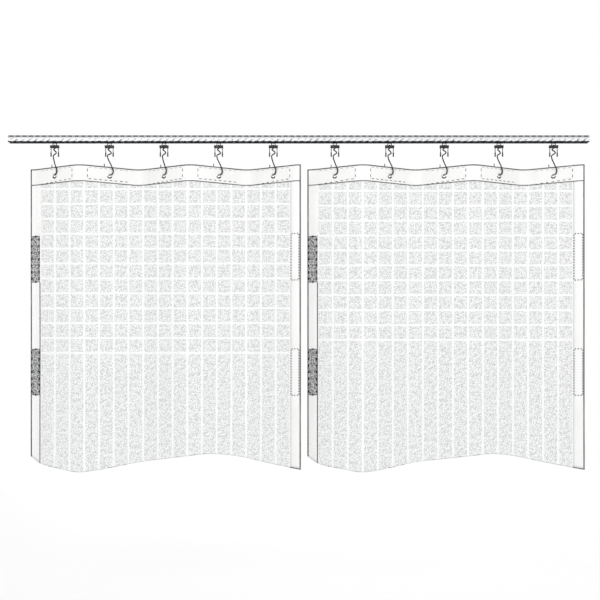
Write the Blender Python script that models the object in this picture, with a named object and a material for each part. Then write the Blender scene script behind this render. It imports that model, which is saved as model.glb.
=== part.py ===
"""A partition curtain: two reinforced clear sheets hung from wheeled runners in a C-section rail.

X runs along the rail, Y from the front to the back and Z up, in metres. The origin is the
middle of the rail's top face, by which the curtain is fixed overhead.
"""

import math
from functools import partial

import bmesh
import bpy
from mathutils import Matrix, Vector

# Rail
RAIL_LENGTH = 2.650
RAIL_DEPTH = 0.040
RAIL_HEIGHT = 0.030
RAIL_WALL = 0.0016
RAIL_CORNER = 0.0030
SLOT_WIDTH = 0.012
LIP_HEIGHT = 0.003
STOP_INSET = 0.014
STOP_THICKNESS = 0.0016
STOP_WIDTH = 0.012
STOP_DROP = 0.014

# Panels and their folds
PANEL_SIDES = ("left", "right")
HOOKS_PER_PANEL = 5
PANEL_GAP = 0.032
LEFT_OVERHANG = 0.084
RIGHT_OVERHANG = 0.034
FOLD_ANGLE = math.radians(28)
FOLD_RADIUS = 0.070

# Sheet, header and hems
FILM_THICKNESS = 0.0008
SIDE_HEM_WIDTH = 0.050
SIDE_HEM_THICKNESS = 0.0016
SIDE_HEM_STEP = 0.001
HEADER_THICKNESS = 0.0032
HEADER_HEIGHT = 0.075
HEADER_FOLD = 0.006
HEADER_WELD = 0.010
TUNNEL_THICKNESS = 0.0016
HEADER_TOP_BELOW_RAIL = 0.111
SHEET_DROP = 1.349
WAVE_HEIGHT = 0.040
# The wavy cut of the lower edge: share of the panel's width, share of the wave's height
WAVE_SHARES = (
    (0.00, 0.52),
    (0.04, -0.30),
    (0.12, -0.75),
    (0.23, -1.00),
    (0.48, 0.23),
    (0.67, 0.95),
    (0.87, -0.10),
    (1.00, -0.75),
)

# Header plates and their eyelets
PLATE_BEND_MARGIN = 0.01735
PLATE_PLAY = 0.0015
PLATE_HEIGHT = 0.048
PLATE_THICKNESS = 0.0010
PLATE_CORNER = 0.006
PLATE_MIDDLE_BELOW_TOP = 0.036
EYELET_BELOW_TOP = 0.041
EYELET_BORE_RADIUS = 0.0070
EYELET_BARREL_WALL = 0.0010
EYELET_FLANGE_RADIUS = 0.0125
EYELET_FLANGE_THICKNESS = 0.0008

# Hook-and-loop tapes
TAPE_WIDTH = 0.048
TAPE_LENGTH = 0.215
TAPE_THICKNESS = 0.0020
UPPER_TAPE_BELOW_TOP = 0.309
LOWER_TAPE_BELOW_TOP = 0.831

# Wheel sets
WHEEL_RADIUS = 0.010
WHEEL_WIDTH = 0.008
WHEEL_CHAMFER = 0.0008
WHEEL_PLAY = 0.0014
HUB_RADIUS = 0.004
HUB_PLAY = 0.0004
AXLE_RADIUS = 0.002

# Runners
HANGER_THICKNESS = 0.003
HANGER_HEAD_RADIUS = 0.008
HANGER_NECK_WIDTH = 0.020
BAR_BELOW_RAIL = 0.0124
BAR_LENGTH = 0.042
BAR_DEPTH = 0.014
BAR_HEIGHT = 0.0124
BAR_CHAMFER = 0.0015
SWIVEL_WINDOW_WIDTH = 0.013
SWIVEL_WINDOW_HEIGHT = 0.008
LEG_SPACING = 0.034
LEG_WIDTH = 0.006
LEG_DEPTH = 0.006
LEG_LENGTH = 0.040
LEG_CHAMFER = 0.0012

# Hooks
WIRE_RADIUS = 0.002
HOOK_HEAD_RADIUS = 0.0045
HOOK_HEAD_HEIGHT = 0.0025
HOOK_BEND_REACH = 0.0085
HOOK_FRONT_REACH = 0.0160
HOOK_TIP_REACH = 0.0225
HOOK_STAND_OFF = 0.0056
HOOK_SADDLE_REACH = 0.0018
HOOK_TIP_ABOVE_TOP = 0.013
# The bent wire between the legs: share of the bend's reach, share of the bend's height
BEND_SHARES = (
    (0.0, 0.00),
    (-0.75, 0.13),
    (0.75, 0.38),
    (0.85, 0.56),
    (-0.85, 0.76),
    (-1.0, 1.00),
)
# The front leg: share of the front reach, share of the stand-off, share of the way to the eyelet
FRONT_LEG_SHARES = (
    (-0.28, 0.20, 0.16),
    (0.40, 0.90, 0.44),
    (0.84, 1.00, 0.64),
    (1.00, 1.00, 0.79),
    (0.78, 1.00, 0.92),
    (0.38, 0.90, 0.985),
)
# The back leg: share of the tip's reach, share of the stand-off, share of the way up to the tip
BACK_LEG_SHARES = (
    (0.25, 0.90, 0.015),
    (0.62, 1.00, 0.08),
    (0.94, 1.00, 0.30),
    (1.00, 1.00, 1.00),
)

# Clearances and mesh fineness
GAP = 0.0003
OVERRUN = 0.005
FOLD_STEPS = 3
FLAT_STEPS = 4
ROUND_STEPS = 12
CORNER_STEPS = 2
SHARP_ANGLE = math.radians(40)
WIRE_POINTS_PER_STRETCH = 2
WIRE_BEVEL_RESOLUTION = 1

# Worked out from the sizes above
PANEL_WIDTH = (RAIL_LENGTH - LEFT_OVERHANG - RIGHT_OVERHANG - PANEL_GAP) / len(PANEL_SIDES)
HOOK_PITCH = PANEL_WIDTH / HOOKS_PER_PANEL
FLAT_HALF = (HOOK_PITCH / 2 - FOLD_RADIUS * math.sin(FOLD_ANGLE)) / math.cos(FOLD_ANGLE)
STRIP_HALF = FLAT_HALF + FOLD_RADIUS * FOLD_ANGLE
FOLD_DEPTH = FLAT_HALF * math.sin(FOLD_ANGLE) + FOLD_RADIUS * (1 - math.cos(FOLD_ANGLE))
CREASE_DEPTH = FOLD_DEPTH - HEADER_THICKNESS / 2
PLATE_LENGTH = 2 * (FLAT_HALF - PLATE_BEND_MARGIN)
HEADER_TOP = -RAIL_HEIGHT - HEADER_TOP_BELOW_RAIL
HEADER_BOTTOM = HEADER_TOP - HEADER_HEIGHT
SHEET_BOTTOM = HEADER_TOP - SHEET_DROP
EYELET_LEVEL = HEADER_TOP - EYELET_BELOW_TOP
RAIL_FLOOR = -RAIL_HEIGHT + RAIL_WALL
AXLE_LEVEL = RAIL_FLOOR + GAP + WHEEL_RADIUS
BAR_TOP = -RAIL_HEIGHT - BAR_BELOW_RAIL
BAR_BOTTOM = BAR_TOP - BAR_HEIGHT
LEG_BOTTOM = BAR_BOTTOM - LEG_LENGTH


def clear_scene():
    """Remove every object that the file opened with."""
    for obj in list(bpy.data.objects):
        bpy.data.objects.remove(obj)


def material(name, colour, roughness, metallic=0.0, alpha=1.0):
    """A plain Principled material."""
    made = bpy.data.materials.new(name)
    made.use_nodes = True
    shader = made.node_tree.nodes["Principled BSDF"]
    shader.inputs["Base Color"].default_value = (*colour, 1.0)
    shader.inputs["Roughness"].default_value = roughness
    shader.inputs["Metallic"].default_value = metallic
    shader.inputs["Alpha"].default_value = alpha
    return made


def object_of(name, data, finish=None):
    """An object that holds the data, linked to the scene."""
    made = bpy.data.objects.new(name, data)
    bpy.context.scene.collection.objects.link(made)
    if finish and not data.materials:
        data.materials.append(finish)
    return made


def shade_round(mesh):
    """Smooth shading, kept sharp where the surface turns a corner."""
    mesh.shade_smooth()
    mesh.set_sharp_from_angle(angle=SHARP_ANGLE)


def mesh_from(bm, name):
    """A mesh with its faces turned outwards; the bmesh is freed."""
    bmesh.ops.remove_doubles(bm, verts=bm.verts, dist=GAP / 100)
    bmesh.ops.recalc_face_normals(bm, faces=bm.faces)
    mesh = bpy.data.meshes.new(name)
    bm.to_mesh(mesh)
    bm.free()
    shade_round(mesh)
    return mesh


def helper_of(name, mesh):
    """A hidden object that only shapes another one."""
    made = object_of(name, mesh)
    made.hide_render = True
    made.display_type = "WIRE"
    return made


def combine(target, other, operation):
    """Join or cut the target with a helper object."""
    step = target.modifiers.new(other.name, "BOOLEAN")
    step.object = other
    step.operation = operation
    step.solver = "EXACT"


def settled_mesh(target):
    """The target's mesh with its modifiers worked in, and its helpers removed."""
    helpers = [step.object for step in target.modifiers if step.type == "BOOLEAN"]
    bpy.context.view_layer.update()
    graph = bpy.context.evaluated_depsgraph_get()
    mesh = bpy.data.meshes.new_from_object(target.evaluated_get(graph))
    shade_round(mesh)
    for obj in [*helpers, target]:
        bpy.data.objects.remove(obj)
    return mesh


def rounded_outline(corners):
    """A closed outline from (x, y, radius) corners, with an arc at each corner that has a radius."""
    outline = []
    for index, (x, y, radius) in enumerate(corners):
        corner = Vector((x, y))
        if not radius:
            outline.append(corner)
            continue
        before = (Vector(corners[index - 1][:2]) - corner).normalized()
        after = (Vector(corners[(index + 1) % len(corners)][:2]) - corner).normalized()
        half = before.angle(after) / 2
        centre = corner + (before + after).normalized() * radius / math.sin(half)
        start = corner + before * radius / math.tan(half) - centre
        turn = start.angle_signed(corner + after * radius / math.tan(half) - centre)
        for step in range(CORNER_STEPS + 1):
            angle = -turn * step / CORNER_STEPS
            outline.append(centre + Matrix.Rotation(angle, 2) @ start)
    return outline


def prism(name, outline, low, high, axis):
    """A straight solid of a flat outline, from low to high along the axis, which is X, Y or Z."""
    order = {"X": (2, 0, 1), "Y": (0, 2, 1), "Z": (0, 1, 2)}[axis]
    bm = bmesh.new()
    corners = []
    for point in outline:
        values = (point[0], point[1], low)
        corners.append(bm.verts.new([values[place] for place in order]))
    face = bm.faces.new(corners)
    made = bmesh.ops.extrude_face_region(bm, geom=[face])
    moved = [item for item in made["geom"] if isinstance(item, bmesh.types.BMVert)]
    along = Vector([(0, 0, high - low)[place] for place in order])
    bmesh.ops.translate(bm, verts=moved, vec=along)
    return mesh_from(bm, name)


def box(name, size, centre, chamfer=0.0):
    """A box by its size and centre, with chamfered edges if a chamfer is given."""
    bm = bmesh.new()
    bmesh.ops.create_cube(bm, size=1.0)
    bmesh.ops.scale(bm, verts=bm.verts, vec=size)
    bmesh.ops.translate(bm, verts=bm.verts, vec=centre)
    if chamfer:
        bmesh.ops.bevel(bm, geom=bm.edges, offset=chamfer, segments=1, profile=0.5, affect="EDGES")
    return mesh_from(bm, name)


def turned(name, profile, axis):
    """A solid turned round an axis through the origin from (radius, height) points that start and end on it."""
    bm = bmesh.new()
    points = [bm.verts.new((radius, 0, height)) for radius, height in profile]
    edges = [bm.edges.new(pair) for pair in zip(points, points[1:])]
    bmesh.ops.spin(
        bm,
        geom=points + edges,
        cent=(0, 0, 0),
        axis=(0, 0, 1),
        angle=math.tau,
        steps=ROUND_STEPS,
        use_merge=True,
    )
    if axis == "Y":
        turn = Matrix.Rotation(math.pi / 2, 3, "X")
        bmesh.ops.rotate(bm, verts=bm.verts, cent=(0, 0, 0), matrix=turn)
    return mesh_from(bm, name)


def rod(name, radius, low, high, axis):
    """A round rod about an axis through the origin."""
    return turned(name, ((0, low), (radius, low), (radius, high), (0, high)), axis)


def smooth_path(points, per_stretch):
    """Points on a smooth curve through the given ones."""
    path = []
    last = len(points) - 1
    for index in range(last):
        before = points[max(index - 1, 0)]
        start = points[index]
        end = points[index + 1]
        after = points[min(index + 2, last)]
        for step in range(per_stretch):
            t = step / per_stretch
            path.append(
                start
                + (end - before) * t / 2
                + (2 * before - 5 * start + 4 * end - after) * t**2 / 2
                + (3 * start - before - 3 * end + after) * t**3 / 2
            )
    return [*path, points[last]]


def panel_start(side):
    """The x of a panel's left edge."""
    left_edge = -RAIL_LENGTH / 2 + LEFT_OVERHANG
    return left_edge + PANEL_SIDES.index(side) * (PANEL_WIDTH + PANEL_GAP)


def hook_place(side, index):
    """The x of a hook; every hook hangs at y = 0."""
    return panel_start(side) + (index + 1 / 2) * HOOK_PITCH


def slope(index):
    """-1 where a strip comes forward from left to right, and 1 where it goes back."""
    return -1 if index % 2 == 0 else 1


def strip_yaw(index):
    """The turn of a strip's flat middle about Z."""
    return slope(index) * FOLD_ANGLE


def plan_point(index, along, behind):
    """A point of a strip seen from above, from its hook: along the sheet's middle, then square to it."""
    flat = max(-FLAT_HALF, min(FLAT_HALF, along))
    bend = (along - flat) / FOLD_RADIUS
    turn = slope(index) * (FOLD_ANGLE - abs(bend))
    x = flat * math.cos(FOLD_ANGLE)
    y = flat * math.sin(FOLD_ANGLE)
    x += math.copysign(FOLD_RADIUS, bend) * (math.sin(FOLD_ANGLE) - math.sin(FOLD_ANGLE - abs(bend)))
    y += math.copysign(FOLD_RADIUS, bend) * (math.cos(FOLD_ANGLE - abs(bend)) - math.cos(FOLD_ANGLE))
    y *= slope(index)
    return Vector((x - behind * math.sin(turn), y + behind * math.cos(turn)))


def stations(start, end):
    """Places along a strip, from start to end, where its mesh has a row of points."""
    places = [FLAT_HALF * (2 * step / FLAT_STEPS - 1) for step in range(FLAT_STEPS + 1)]
    for step in range(1, FOLD_STEPS + 1):
        bend = (STRIP_HALF - FLAT_HALF) * step / FOLD_STEPS
        places += [FLAT_HALF + bend, -FLAT_HALF - bend]
    inner = [place for place in sorted(places) if start + GAP < place < end - GAP]
    return [start, *inner, end]


def skinned_band(name, index, places, section):
    """A solid along a strip, whose section at each place is a ring of (behind, height) points."""
    bm = bmesh.new()
    rings = []
    for along in places:
        ring = []
        for behind, height in section(along):
            point = plan_point(index, along, behind)
            ring.append(bm.verts.new((point.x, point.y, height)))
        rings.append(ring)
    for ring, following in zip(rings, rings[1:]):
        for corner in range(len(ring)):
            after = (corner + 1) % len(ring)
            bm.faces.new((ring[corner], ring[after], following[after], following[corner]))
    bm.faces.new(rings[0])
    bm.faces.new(rings[-1])
    return mesh_from(bm, name)


def flat_band(name, index, start, end, behind, heights):
    """A band of one thickness along a strip; behind and heights are its (low, high) limits."""
    ring = [(behind[0], heights[0]), (behind[1], heights[0]), (behind[1], heights[1]), (behind[0], heights[1])]
    return skinned_band(name, index, stations(start, end), lambda along: ring)


def lower_edge(share):
    """The height of the sheet's wavy lower edge at a share of the panel's width."""
    points = [Vector(point) for point in WAVE_SHARES]
    path = smooth_path(points, 2 * FOLD_STEPS)
    for start, end in zip(path, path[1:]):
        if share <= end.x:
            part = (share - start.x) / (end.x - start.x)
            return SHEET_BOTTOM + WAVE_HEIGHT * start.lerp(end, max(part, 0)).y
    return SHEET_BOTTOM + WAVE_HEIGHT * points[-1].y


def at_edge(index):
    """Whether a strip has the panel's left edge, and whether it has its right edge."""
    return index == 0, index == HOOKS_PER_PANEL - 1


def strip_section(index, along):
    """The ring of a strip's section: the film or side hem below, the thicker header above."""
    left, right = at_edge(index)
    inside = STRIP_HALF - SIDE_HEM_WIDTH
    hemmed = (left and along < -inside) or (right and along > inside)
    film = (SIDE_HEM_THICKNESS if hemmed else FILM_THICKNESS) / 2
    header = HEADER_THICKNESS / 2
    x = (index + 1 / 2) * HOOK_PITCH + plan_point(index, along, 0).x
    bottom = lower_edge(x / PANEL_WIDTH)
    front = [(-film, bottom), (-film, HEADER_BOTTOM), (-header, HEADER_BOTTOM), (-header, HEADER_TOP)]
    return [(-behind, height) for behind, height in front] + front[::-1]


def strip_mesh(side, index):
    """One strip of a sheet between two folds, with its header, its plate's tunnel and its eyelet hole."""
    name = f"sheet_{side}_{index + 1}"
    left, right = at_edge(index)
    start = -STRIP_HALF + (0 if left else GAP / 2)
    end = STRIP_HALF - (0 if right else GAP / 2)
    places = stations(start, end)
    inside = STRIP_HALF - SIDE_HEM_WIDTH
    if left:
        places += [-inside - SIDE_HEM_STEP, -inside + SIDE_HEM_STEP]
    if right:
        places += [inside - SIDE_HEM_STEP, inside + SIDE_HEM_STEP]
    strip = object_of(name, skinned_band(name, index, sorted(places), partial(strip_section, index)))
    closed_end = PLATE_LENGTH / 2 + PLATE_PLAY
    open_end = STRIP_HALF + OVERRUN
    tunnel = flat_band(
        "tunnel",
        index,
        -closed_end if left else -open_end,
        closed_end if right else open_end,
        (-TUNNEL_THICKNESS / 2, TUNNEL_THICKNESS / 2),
        (HEADER_BOTTOM + HEADER_WELD, HEADER_TOP - HEADER_FOLD),
    )
    combine(strip, helper_of("tunnel", tunnel), "DIFFERENCE")
    hole_radius = EYELET_BORE_RADIUS + EYELET_BARREL_WALL + GAP
    hole = helper_of("eyelet_hole", rod("eyelet_hole", hole_radius, -OVERRUN, OVERRUN, "Y"))
    hole.location.z = EYELET_LEVEL
    hole.rotation_euler.z = strip_yaw(index)
    combine(strip, hole, "DIFFERENCE")
    return settled_mesh(strip)


def rail_mesh():
    """The rail: a C-section with turned-up lips along its slot, and a stop inside each end."""
    half = RAIL_DEPTH / 2
    slot = SLOT_WIDTH / 2
    inner = RAIL_CORNER - RAIL_WALL
    lip = RAIL_FLOOR + LIP_HEIGHT
    right = [
        (slot, lip, 0),
        (slot, -RAIL_HEIGHT, 0),
        (half, -RAIL_HEIGHT, RAIL_CORNER),
        (half, 0, RAIL_CORNER),
    ]
    inside = [
        (half - RAIL_WALL, -RAIL_WALL, inner),
        (half - RAIL_WALL, RAIL_FLOOR, inner),
        (slot + RAIL_WALL, RAIL_FLOOR, 0),
        (slot + RAIL_WALL, lip, 0),
    ]
    left = [(-y, z, radius) for y, z, radius in right[::-1]]
    inside_left = [(-y, z, radius) for y, z, radius in inside[::-1]]
    outline = rounded_outline(right + left + inside_left + inside)
    rail = object_of("rail", prism("rail", outline, -RAIL_LENGTH / 2, RAIL_LENGTH / 2, "X"))
    for end in (-1, 1):
        size = (STOP_THICKNESS, STOP_WIDTH, STOP_DROP - RAIL_WALL / 2)
        centre = (end * (RAIL_LENGTH / 2 - STOP_INSET), 0, -(STOP_DROP + RAIL_WALL / 2) / 2)
        combine(rail, helper_of("stop", box("stop", size, centre)), "UNION")
    return settled_mesh(rail)


def wheel_set_mesh():
    """Two wheels with their hubs on one axle along Y, about the origin."""
    wheel_in = SLOT_WIDTH / 2 + RAIL_WALL + WHEEL_PLAY
    wheel_out = wheel_in + WHEEL_WIDTH
    hub_in = HANGER_THICKNESS / 2 + HUB_PLAY
    rim = WHEEL_RADIUS - WHEEL_CHAMFER
    half = [
        (0, wheel_out),
        (rim, wheel_out),
        (WHEEL_RADIUS, wheel_out - WHEEL_CHAMFER),
        (WHEEL_RADIUS, wheel_in + WHEEL_CHAMFER),
        (rim, wheel_in),
        (HUB_RADIUS, wheel_in),
        (HUB_RADIUS, hub_in),
        (AXLE_RADIUS, hub_in),
    ]
    other = [(radius, -height) for radius, height in half[::-1]]
    return turned("wheel_set", half + other, "Y")


def hanger_outline():
    """The hanger plate in front view: a round head about the axle above a straight neck."""
    neck = HANGER_NECK_WIDTH / 2
    foot = BAR_TOP - BAR_HEIGHT / 2
    shoulder = AXLE_LEVEL - HANGER_HEAD_RADIUS
    outline = [(-neck, foot), (neck, foot), (neck, shoulder)]
    for step in range(ROUND_STEPS // 2 + 1):
        angle = math.pi * step / (ROUND_STEPS // 2)
        x = HANGER_HEAD_RADIUS * math.cos(angle)
        outline.append((x, AXLE_LEVEL + HANGER_HEAD_RADIUS * math.sin(angle)))
    return [*outline, (-neck, shoulder)]


def runner_mesh():
    """A runner: a hanger plate up into the rail, a bar below the slot, and two legs round the hook."""
    half = HANGER_THICKNESS / 2
    runner = object_of("runner", prism("runner", hanger_outline(), -half, half, "Y"))
    bar_middle = (0, 0, BAR_TOP - BAR_HEIGHT / 2)
    bar = box("bar", (BAR_LENGTH, BAR_DEPTH, BAR_HEIGHT), bar_middle, BAR_CHAMFER)
    combine(runner, helper_of("bar", bar), "UNION")
    for end in (-1, 1):
        size = (LEG_WIDTH, LEG_DEPTH, LEG_LENGTH + BAR_HEIGHT / 2)
        centre = (end * LEG_SPACING / 2, 0, LEG_BOTTOM + size[2] / 2)
        combine(runner, helper_of("leg", box("leg", size, centre, LEG_CHAMFER)), "UNION")
    axle_hole = rod("axle_hole", AXLE_RADIUS + GAP, -HANGER_THICKNESS, HANGER_THICKNESS, "Y")
    cutter = helper_of("axle_hole", axle_hole)
    cutter.location.z = AXLE_LEVEL
    combine(runner, cutter, "DIFFERENCE")
    size = (SWIVEL_WINDOW_WIDTH, BAR_DEPTH, SWIVEL_WINDOW_HEIGHT)
    window = box("window", size, (0, 0, BAR_TOP + SWIVEL_WINDOW_HEIGHT / 2))
    combine(runner, helper_of("window", window), "DIFFERENCE")
    swivel_hole = rod("swivel_hole", WIRE_RADIUS + GAP, BAR_BOTTOM - OVERRUN, BAR_TOP + OVERRUN, "Z")
    combine(runner, helper_of("swivel_hole", swivel_hole), "DIFFERENCE")
    return settled_mesh(runner)


def hook_points():
    """The hook's wire in its strip's own frame: along the sheet, behind it, and up."""
    shank_end = Vector((0, 0, BAR_BOTTOM - WIRE_RADIUS))
    bend_height = LEG_LENGTH
    points = [Vector((0, 0, BAR_TOP)), Vector((0, 0, BAR_BOTTOM))]
    for along, down in BEND_SHARES:
        points.append(shank_end + Vector((HOOK_BEND_REACH * along, 0, -bend_height * down)))
    saddle = EYELET_LEVEL + EYELET_BORE_RADIUS - WIRE_RADIUS - 3 * GAP
    low = saddle - 2 * GAP
    leg_top = points[-1].z
    for along, before, down in FRONT_LEG_SHARES:
        height = leg_top + (low - leg_top) * down
        points.append(Vector((HOOK_FRONT_REACH * along, -HOOK_STAND_OFF * before, height)))
    reach = HOOK_SADDLE_REACH
    points.append(Vector((reach, -HOOK_STAND_OFF / 2, low)))
    points.append(Vector((0, 0, saddle)))
    points.append(Vector((-reach, HOOK_STAND_OFF / 2, low)))
    tip = HEADER_TOP + HOOK_TIP_ABOVE_TOP
    for along, behind, up in BACK_LEG_SHARES:
        height = low + (tip - low) * up
        points.append(Vector((-HOOK_TIP_REACH * along, HOOK_STAND_OFF * behind, height)))
    return points


def hook_curve():
    """The hook: a wire with an upset head above the bar, as a bevelled curve."""
    seat = BAR_TOP + GAP
    head = HOOK_HEAD_RADIUS / WIRE_RADIUS
    wire = [(Vector((0, 0, seat + HOOK_HEAD_HEIGHT)), head), (Vector((0, 0, seat)), head)]
    wire += [(Vector((0, 0, seat - GAP / 2)), 1.0)]
    wire += [(point, 1.0) for point in smooth_path(hook_points(), WIRE_POINTS_PER_STRETCH)[1:]]
    curve = bpy.data.curves.new("hook", "CURVE")
    curve.dimensions = "3D"
    curve.bevel_depth = WIRE_RADIUS
    curve.bevel_resolution = WIRE_BEVEL_RESOLUTION
    curve.use_fill_caps = True
    spline = curve.splines.new("POLY")
    spline.points.add(len(wire) - 1)
    for point, (place, radius) in zip(spline.points, wire):
        point.co = (*place, 1.0)
        point.radius = radius
    return curve


def header_plate_mesh():
    """A stiffener plate with its eyelet riveted through it, in its strip's own frame."""
    length, height = PLATE_LENGTH / 2, PLATE_HEIGHT / 2
    corners = [(-length, -height), (length, -height), (length, height), (-length, height)]
    middle = HEADER_TOP - PLATE_MIDDLE_BELOW_TOP
    outline = rounded_outline([(x, z + middle, PLATE_CORNER) for x, z in corners])
    half = PLATE_THICKNESS / 2
    plate = object_of("header_plate", prism("header_plate", outline, -half, half, "Y"))
    barrel = EYELET_BORE_RADIUS + EYELET_BARREL_WALL
    seat = HEADER_THICKNESS / 2 + GAP
    face = seat + EYELET_FLANGE_THICKNESS
    rounded = EYELET_FLANGE_RADIUS - EYELET_FLANGE_THICKNESS
    top = [(0, face), (rounded, face), (EYELET_FLANGE_RADIUS, seat), (barrel, seat)]
    spool = turned("eyelet", top + [(radius, -level) for radius, level in top[::-1]], "Y")
    bore = rod("eyelet_bore", EYELET_BORE_RADIUS, -OVERRUN, OVERRUN, "Y")
    for helper, operation in ((spool, "UNION"), (bore, "DIFFERENCE")):
        other = helper_of(helper.name, helper)
        other.location.z = EYELET_LEVEL
        combine(plate, other, operation)
    return settled_mesh(plate)


def tape_mesh(index, below_top, in_front):
    """A tape sewn over a side hem, on the front of the left hem or on the back of the right one."""
    margin = (SIDE_HEM_WIDTH - TAPE_WIDTH) / 2
    near = SIDE_HEM_THICKNESS / 2 + GAP
    far = near + TAPE_THICKNESS
    top = HEADER_TOP - below_top
    heights = (top - TAPE_LENGTH, top)
    if in_front:
        start = -STRIP_HALF + margin
        return flat_band("loop_tape", index, start, start + TAPE_WIDTH, (-far, -near), heights)
    end = STRIP_HALF - margin
    return flat_band("hook_tape", index, end - TAPE_WIDTH, end, (near, far), heights)


def joint_empty(name, place, parent=None):
    """An empty on a joint's axis, which carries the pieces that move with it."""
    made = object_of(name, None)
    made.empty_display_size = HOOK_PITCH / 10
    made.parent = parent
    made.location = place
    if parent:
        made.location = Vector(place) - world_place(parent)
    return made


def world_place(obj):
    """Where an untilted empty stands, through all its parents."""
    place = obj.location.copy()
    while obj.parent:
        obj = obj.parent
        place += obj.location
    return place


def carry(obj, empty, place, yaw=0.0):
    """Hang a piece on a joint's empty, at a place in the world and turned about Z."""
    obj.parent = empty
    obj.location = Vector(place) - world_place(empty)
    obj.rotation_euler.z = yaw
    return obj


class Finishes:
    """The materials, made once."""

    def __init__(self):
        self.rail = material("galvanised_steel", (0.62, 0.64, 0.66), 0.42, 1.0)
        self.runner = material("zinc_plated_steel", (0.42, 0.43, 0.45), 0.38, 1.0)
        self.wheel = material("white_nylon", (0.86, 0.85, 0.81), 0.45)
        self.wire = material("steel_wire", (0.50, 0.51, 0.53), 0.30, 1.0)
        self.sheet = material("reinforced_clear_sheet", (0.84, 0.86, 0.87), 0.35, 0.0, 0.75)
        self.plate = material("eyelet_and_plate", (0.70, 0.70, 0.68), 0.35, 1.0)
        self.loop = material("loop_tape", (0.10, 0.10, 0.11), 0.95)
        self.hook = material("hook_tape", (0.80, 0.80, 0.78), 0.85)


class SharedMeshes:
    """The meshes that many copies use."""

    def __init__(self, finishes):
        self.runner = runner_mesh()
        self.wheel_set = wheel_set_mesh()
        self.hook = hook_curve()
        self.header_plate = header_plate_mesh()
        self.runner.materials.append(finishes.runner)
        self.wheel_set.materials.append(finishes.wheel)
        self.hook.materials.append(finishes.wire)
        self.header_plate.materials.append(finishes.plate)


def crease_place(side, index):
    """The fold line between a strip and the next one, on the header's inner face."""
    x = panel_start(side) + (index + 1) * HOOK_PITCH
    return Vector((x, slope(index) * CREASE_DEPTH, 0))


def add_runner(side, index, empty, shared):
    """A runner and its wheel set on their empties."""
    tag = f"{side}_{index + 1}"
    place = Vector((hook_place(side, index), 0, 0))
    carry(object_of(f"runner_{tag}", shared.runner), empty, place)
    axle = place + Vector((0, 0, AXLE_LEVEL))
    roll = joint_empty(f"roll_{tag}", axle, empty)
    carry(object_of(f"wheel_set_{tag}", shared.wheel_set), roll, axle)


def add_strip(side, index, empty, shared, finishes):
    """A strip of sheet with its header plate, its hook and any tapes, on its fold's empty."""
    tag = f"{side}_{index + 1}"
    hook = Vector((hook_place(side, index), 0, 0))
    mesh = strip_mesh(side, index)
    mesh.transform(Matrix.Translation(hook - world_place(empty)))
    carry(object_of(f"sheet_{tag}", mesh, finishes.sheet), empty, world_place(empty))
    yaw = strip_yaw(index)
    carry(object_of(f"hook_{tag}", shared.hook), empty, hook, yaw)
    carry(object_of(f"header_plate_{tag}", shared.header_plate), empty, hook, yaw)
    left, right = at_edge(index)
    levels = (("upper", UPPER_TAPE_BELOW_TOP), ("lower", LOWER_TAPE_BELOW_TOP))
    for name, below_top in levels if left or right else ():
        kind = "loop_tape" if left else "hook_tape"
        finish = finishes.loop if left else finishes.hook
        tape = object_of(f"{kind}_{side}_{name}", tape_mesh(index, below_top, left), finish)
        carry(tape, empty, hook)


def add_panel(side, rail, shared, finishes):
    """A panel: its first runner slides in the rail, and its strips fold from there one by one."""
    order = range(HOOKS_PER_PANEL)
    if side == "right":
        order = order[::-1]
    previous = None
    for index in order:
        hook = Vector((hook_place(side, index), 0, 0))
        if previous is None:
            carriage = joint_empty(f"draw_{side}", hook, rail)
            fold = joint_empty(f"fold_{side}", hook, carriage)
        else:
            crease = crease_place(side, min(index, previous))
            fold = joint_empty(f"crease_{side}_{index + 1}", crease, fold)
            carriage = joint_empty(f"swivel_{side}_{index + 1}", hook, fold)
        add_runner(side, index, carriage, shared)
        add_strip(side, index, fold, shared, finishes)
        previous = index


def main():
    clear_scene()
    finishes = Finishes()
    rail = object_of("rail", rail_mesh(), finishes.rail)
    shared = SharedMeshes(finishes)
    for side in PANEL_SIDES:
        add_panel(side, rail, shared, finishes)


main()
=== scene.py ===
"""The looks of a partition curtain: two reinforced clear sheets that hang from runners in a rail.

X runs along the rail, Y from the front to the back and Z up, in metres, as in the frame. A place on
a sheet is given by its run, which is the distance from the panel's left edge along the sheet, by how
far it lies behind the sheet's middle, and by its height.
"""

import logging
import math
from collections.abc import Callable, Sequence
from dataclasses import dataclass, field
from enum import Enum

import bmesh
import bpy
from mathutils import Matrix, Vector, noise

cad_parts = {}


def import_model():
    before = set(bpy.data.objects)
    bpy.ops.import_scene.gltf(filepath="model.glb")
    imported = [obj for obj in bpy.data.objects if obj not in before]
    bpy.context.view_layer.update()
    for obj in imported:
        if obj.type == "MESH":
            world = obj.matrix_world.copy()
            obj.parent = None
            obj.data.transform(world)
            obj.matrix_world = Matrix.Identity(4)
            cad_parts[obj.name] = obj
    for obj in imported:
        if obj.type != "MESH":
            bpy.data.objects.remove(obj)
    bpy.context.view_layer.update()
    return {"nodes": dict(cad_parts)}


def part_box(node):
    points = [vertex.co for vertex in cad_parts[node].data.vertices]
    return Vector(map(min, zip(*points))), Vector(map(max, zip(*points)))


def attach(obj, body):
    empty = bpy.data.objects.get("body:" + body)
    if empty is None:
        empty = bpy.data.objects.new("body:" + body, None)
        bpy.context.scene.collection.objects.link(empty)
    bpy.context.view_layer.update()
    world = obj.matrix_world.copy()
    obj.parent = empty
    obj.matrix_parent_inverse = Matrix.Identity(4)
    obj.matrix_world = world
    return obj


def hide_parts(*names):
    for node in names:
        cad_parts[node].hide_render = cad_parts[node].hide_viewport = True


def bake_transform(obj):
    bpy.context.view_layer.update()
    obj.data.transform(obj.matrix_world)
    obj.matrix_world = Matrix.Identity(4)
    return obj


LOG = logging.getLogger("partition_curtain")
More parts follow.
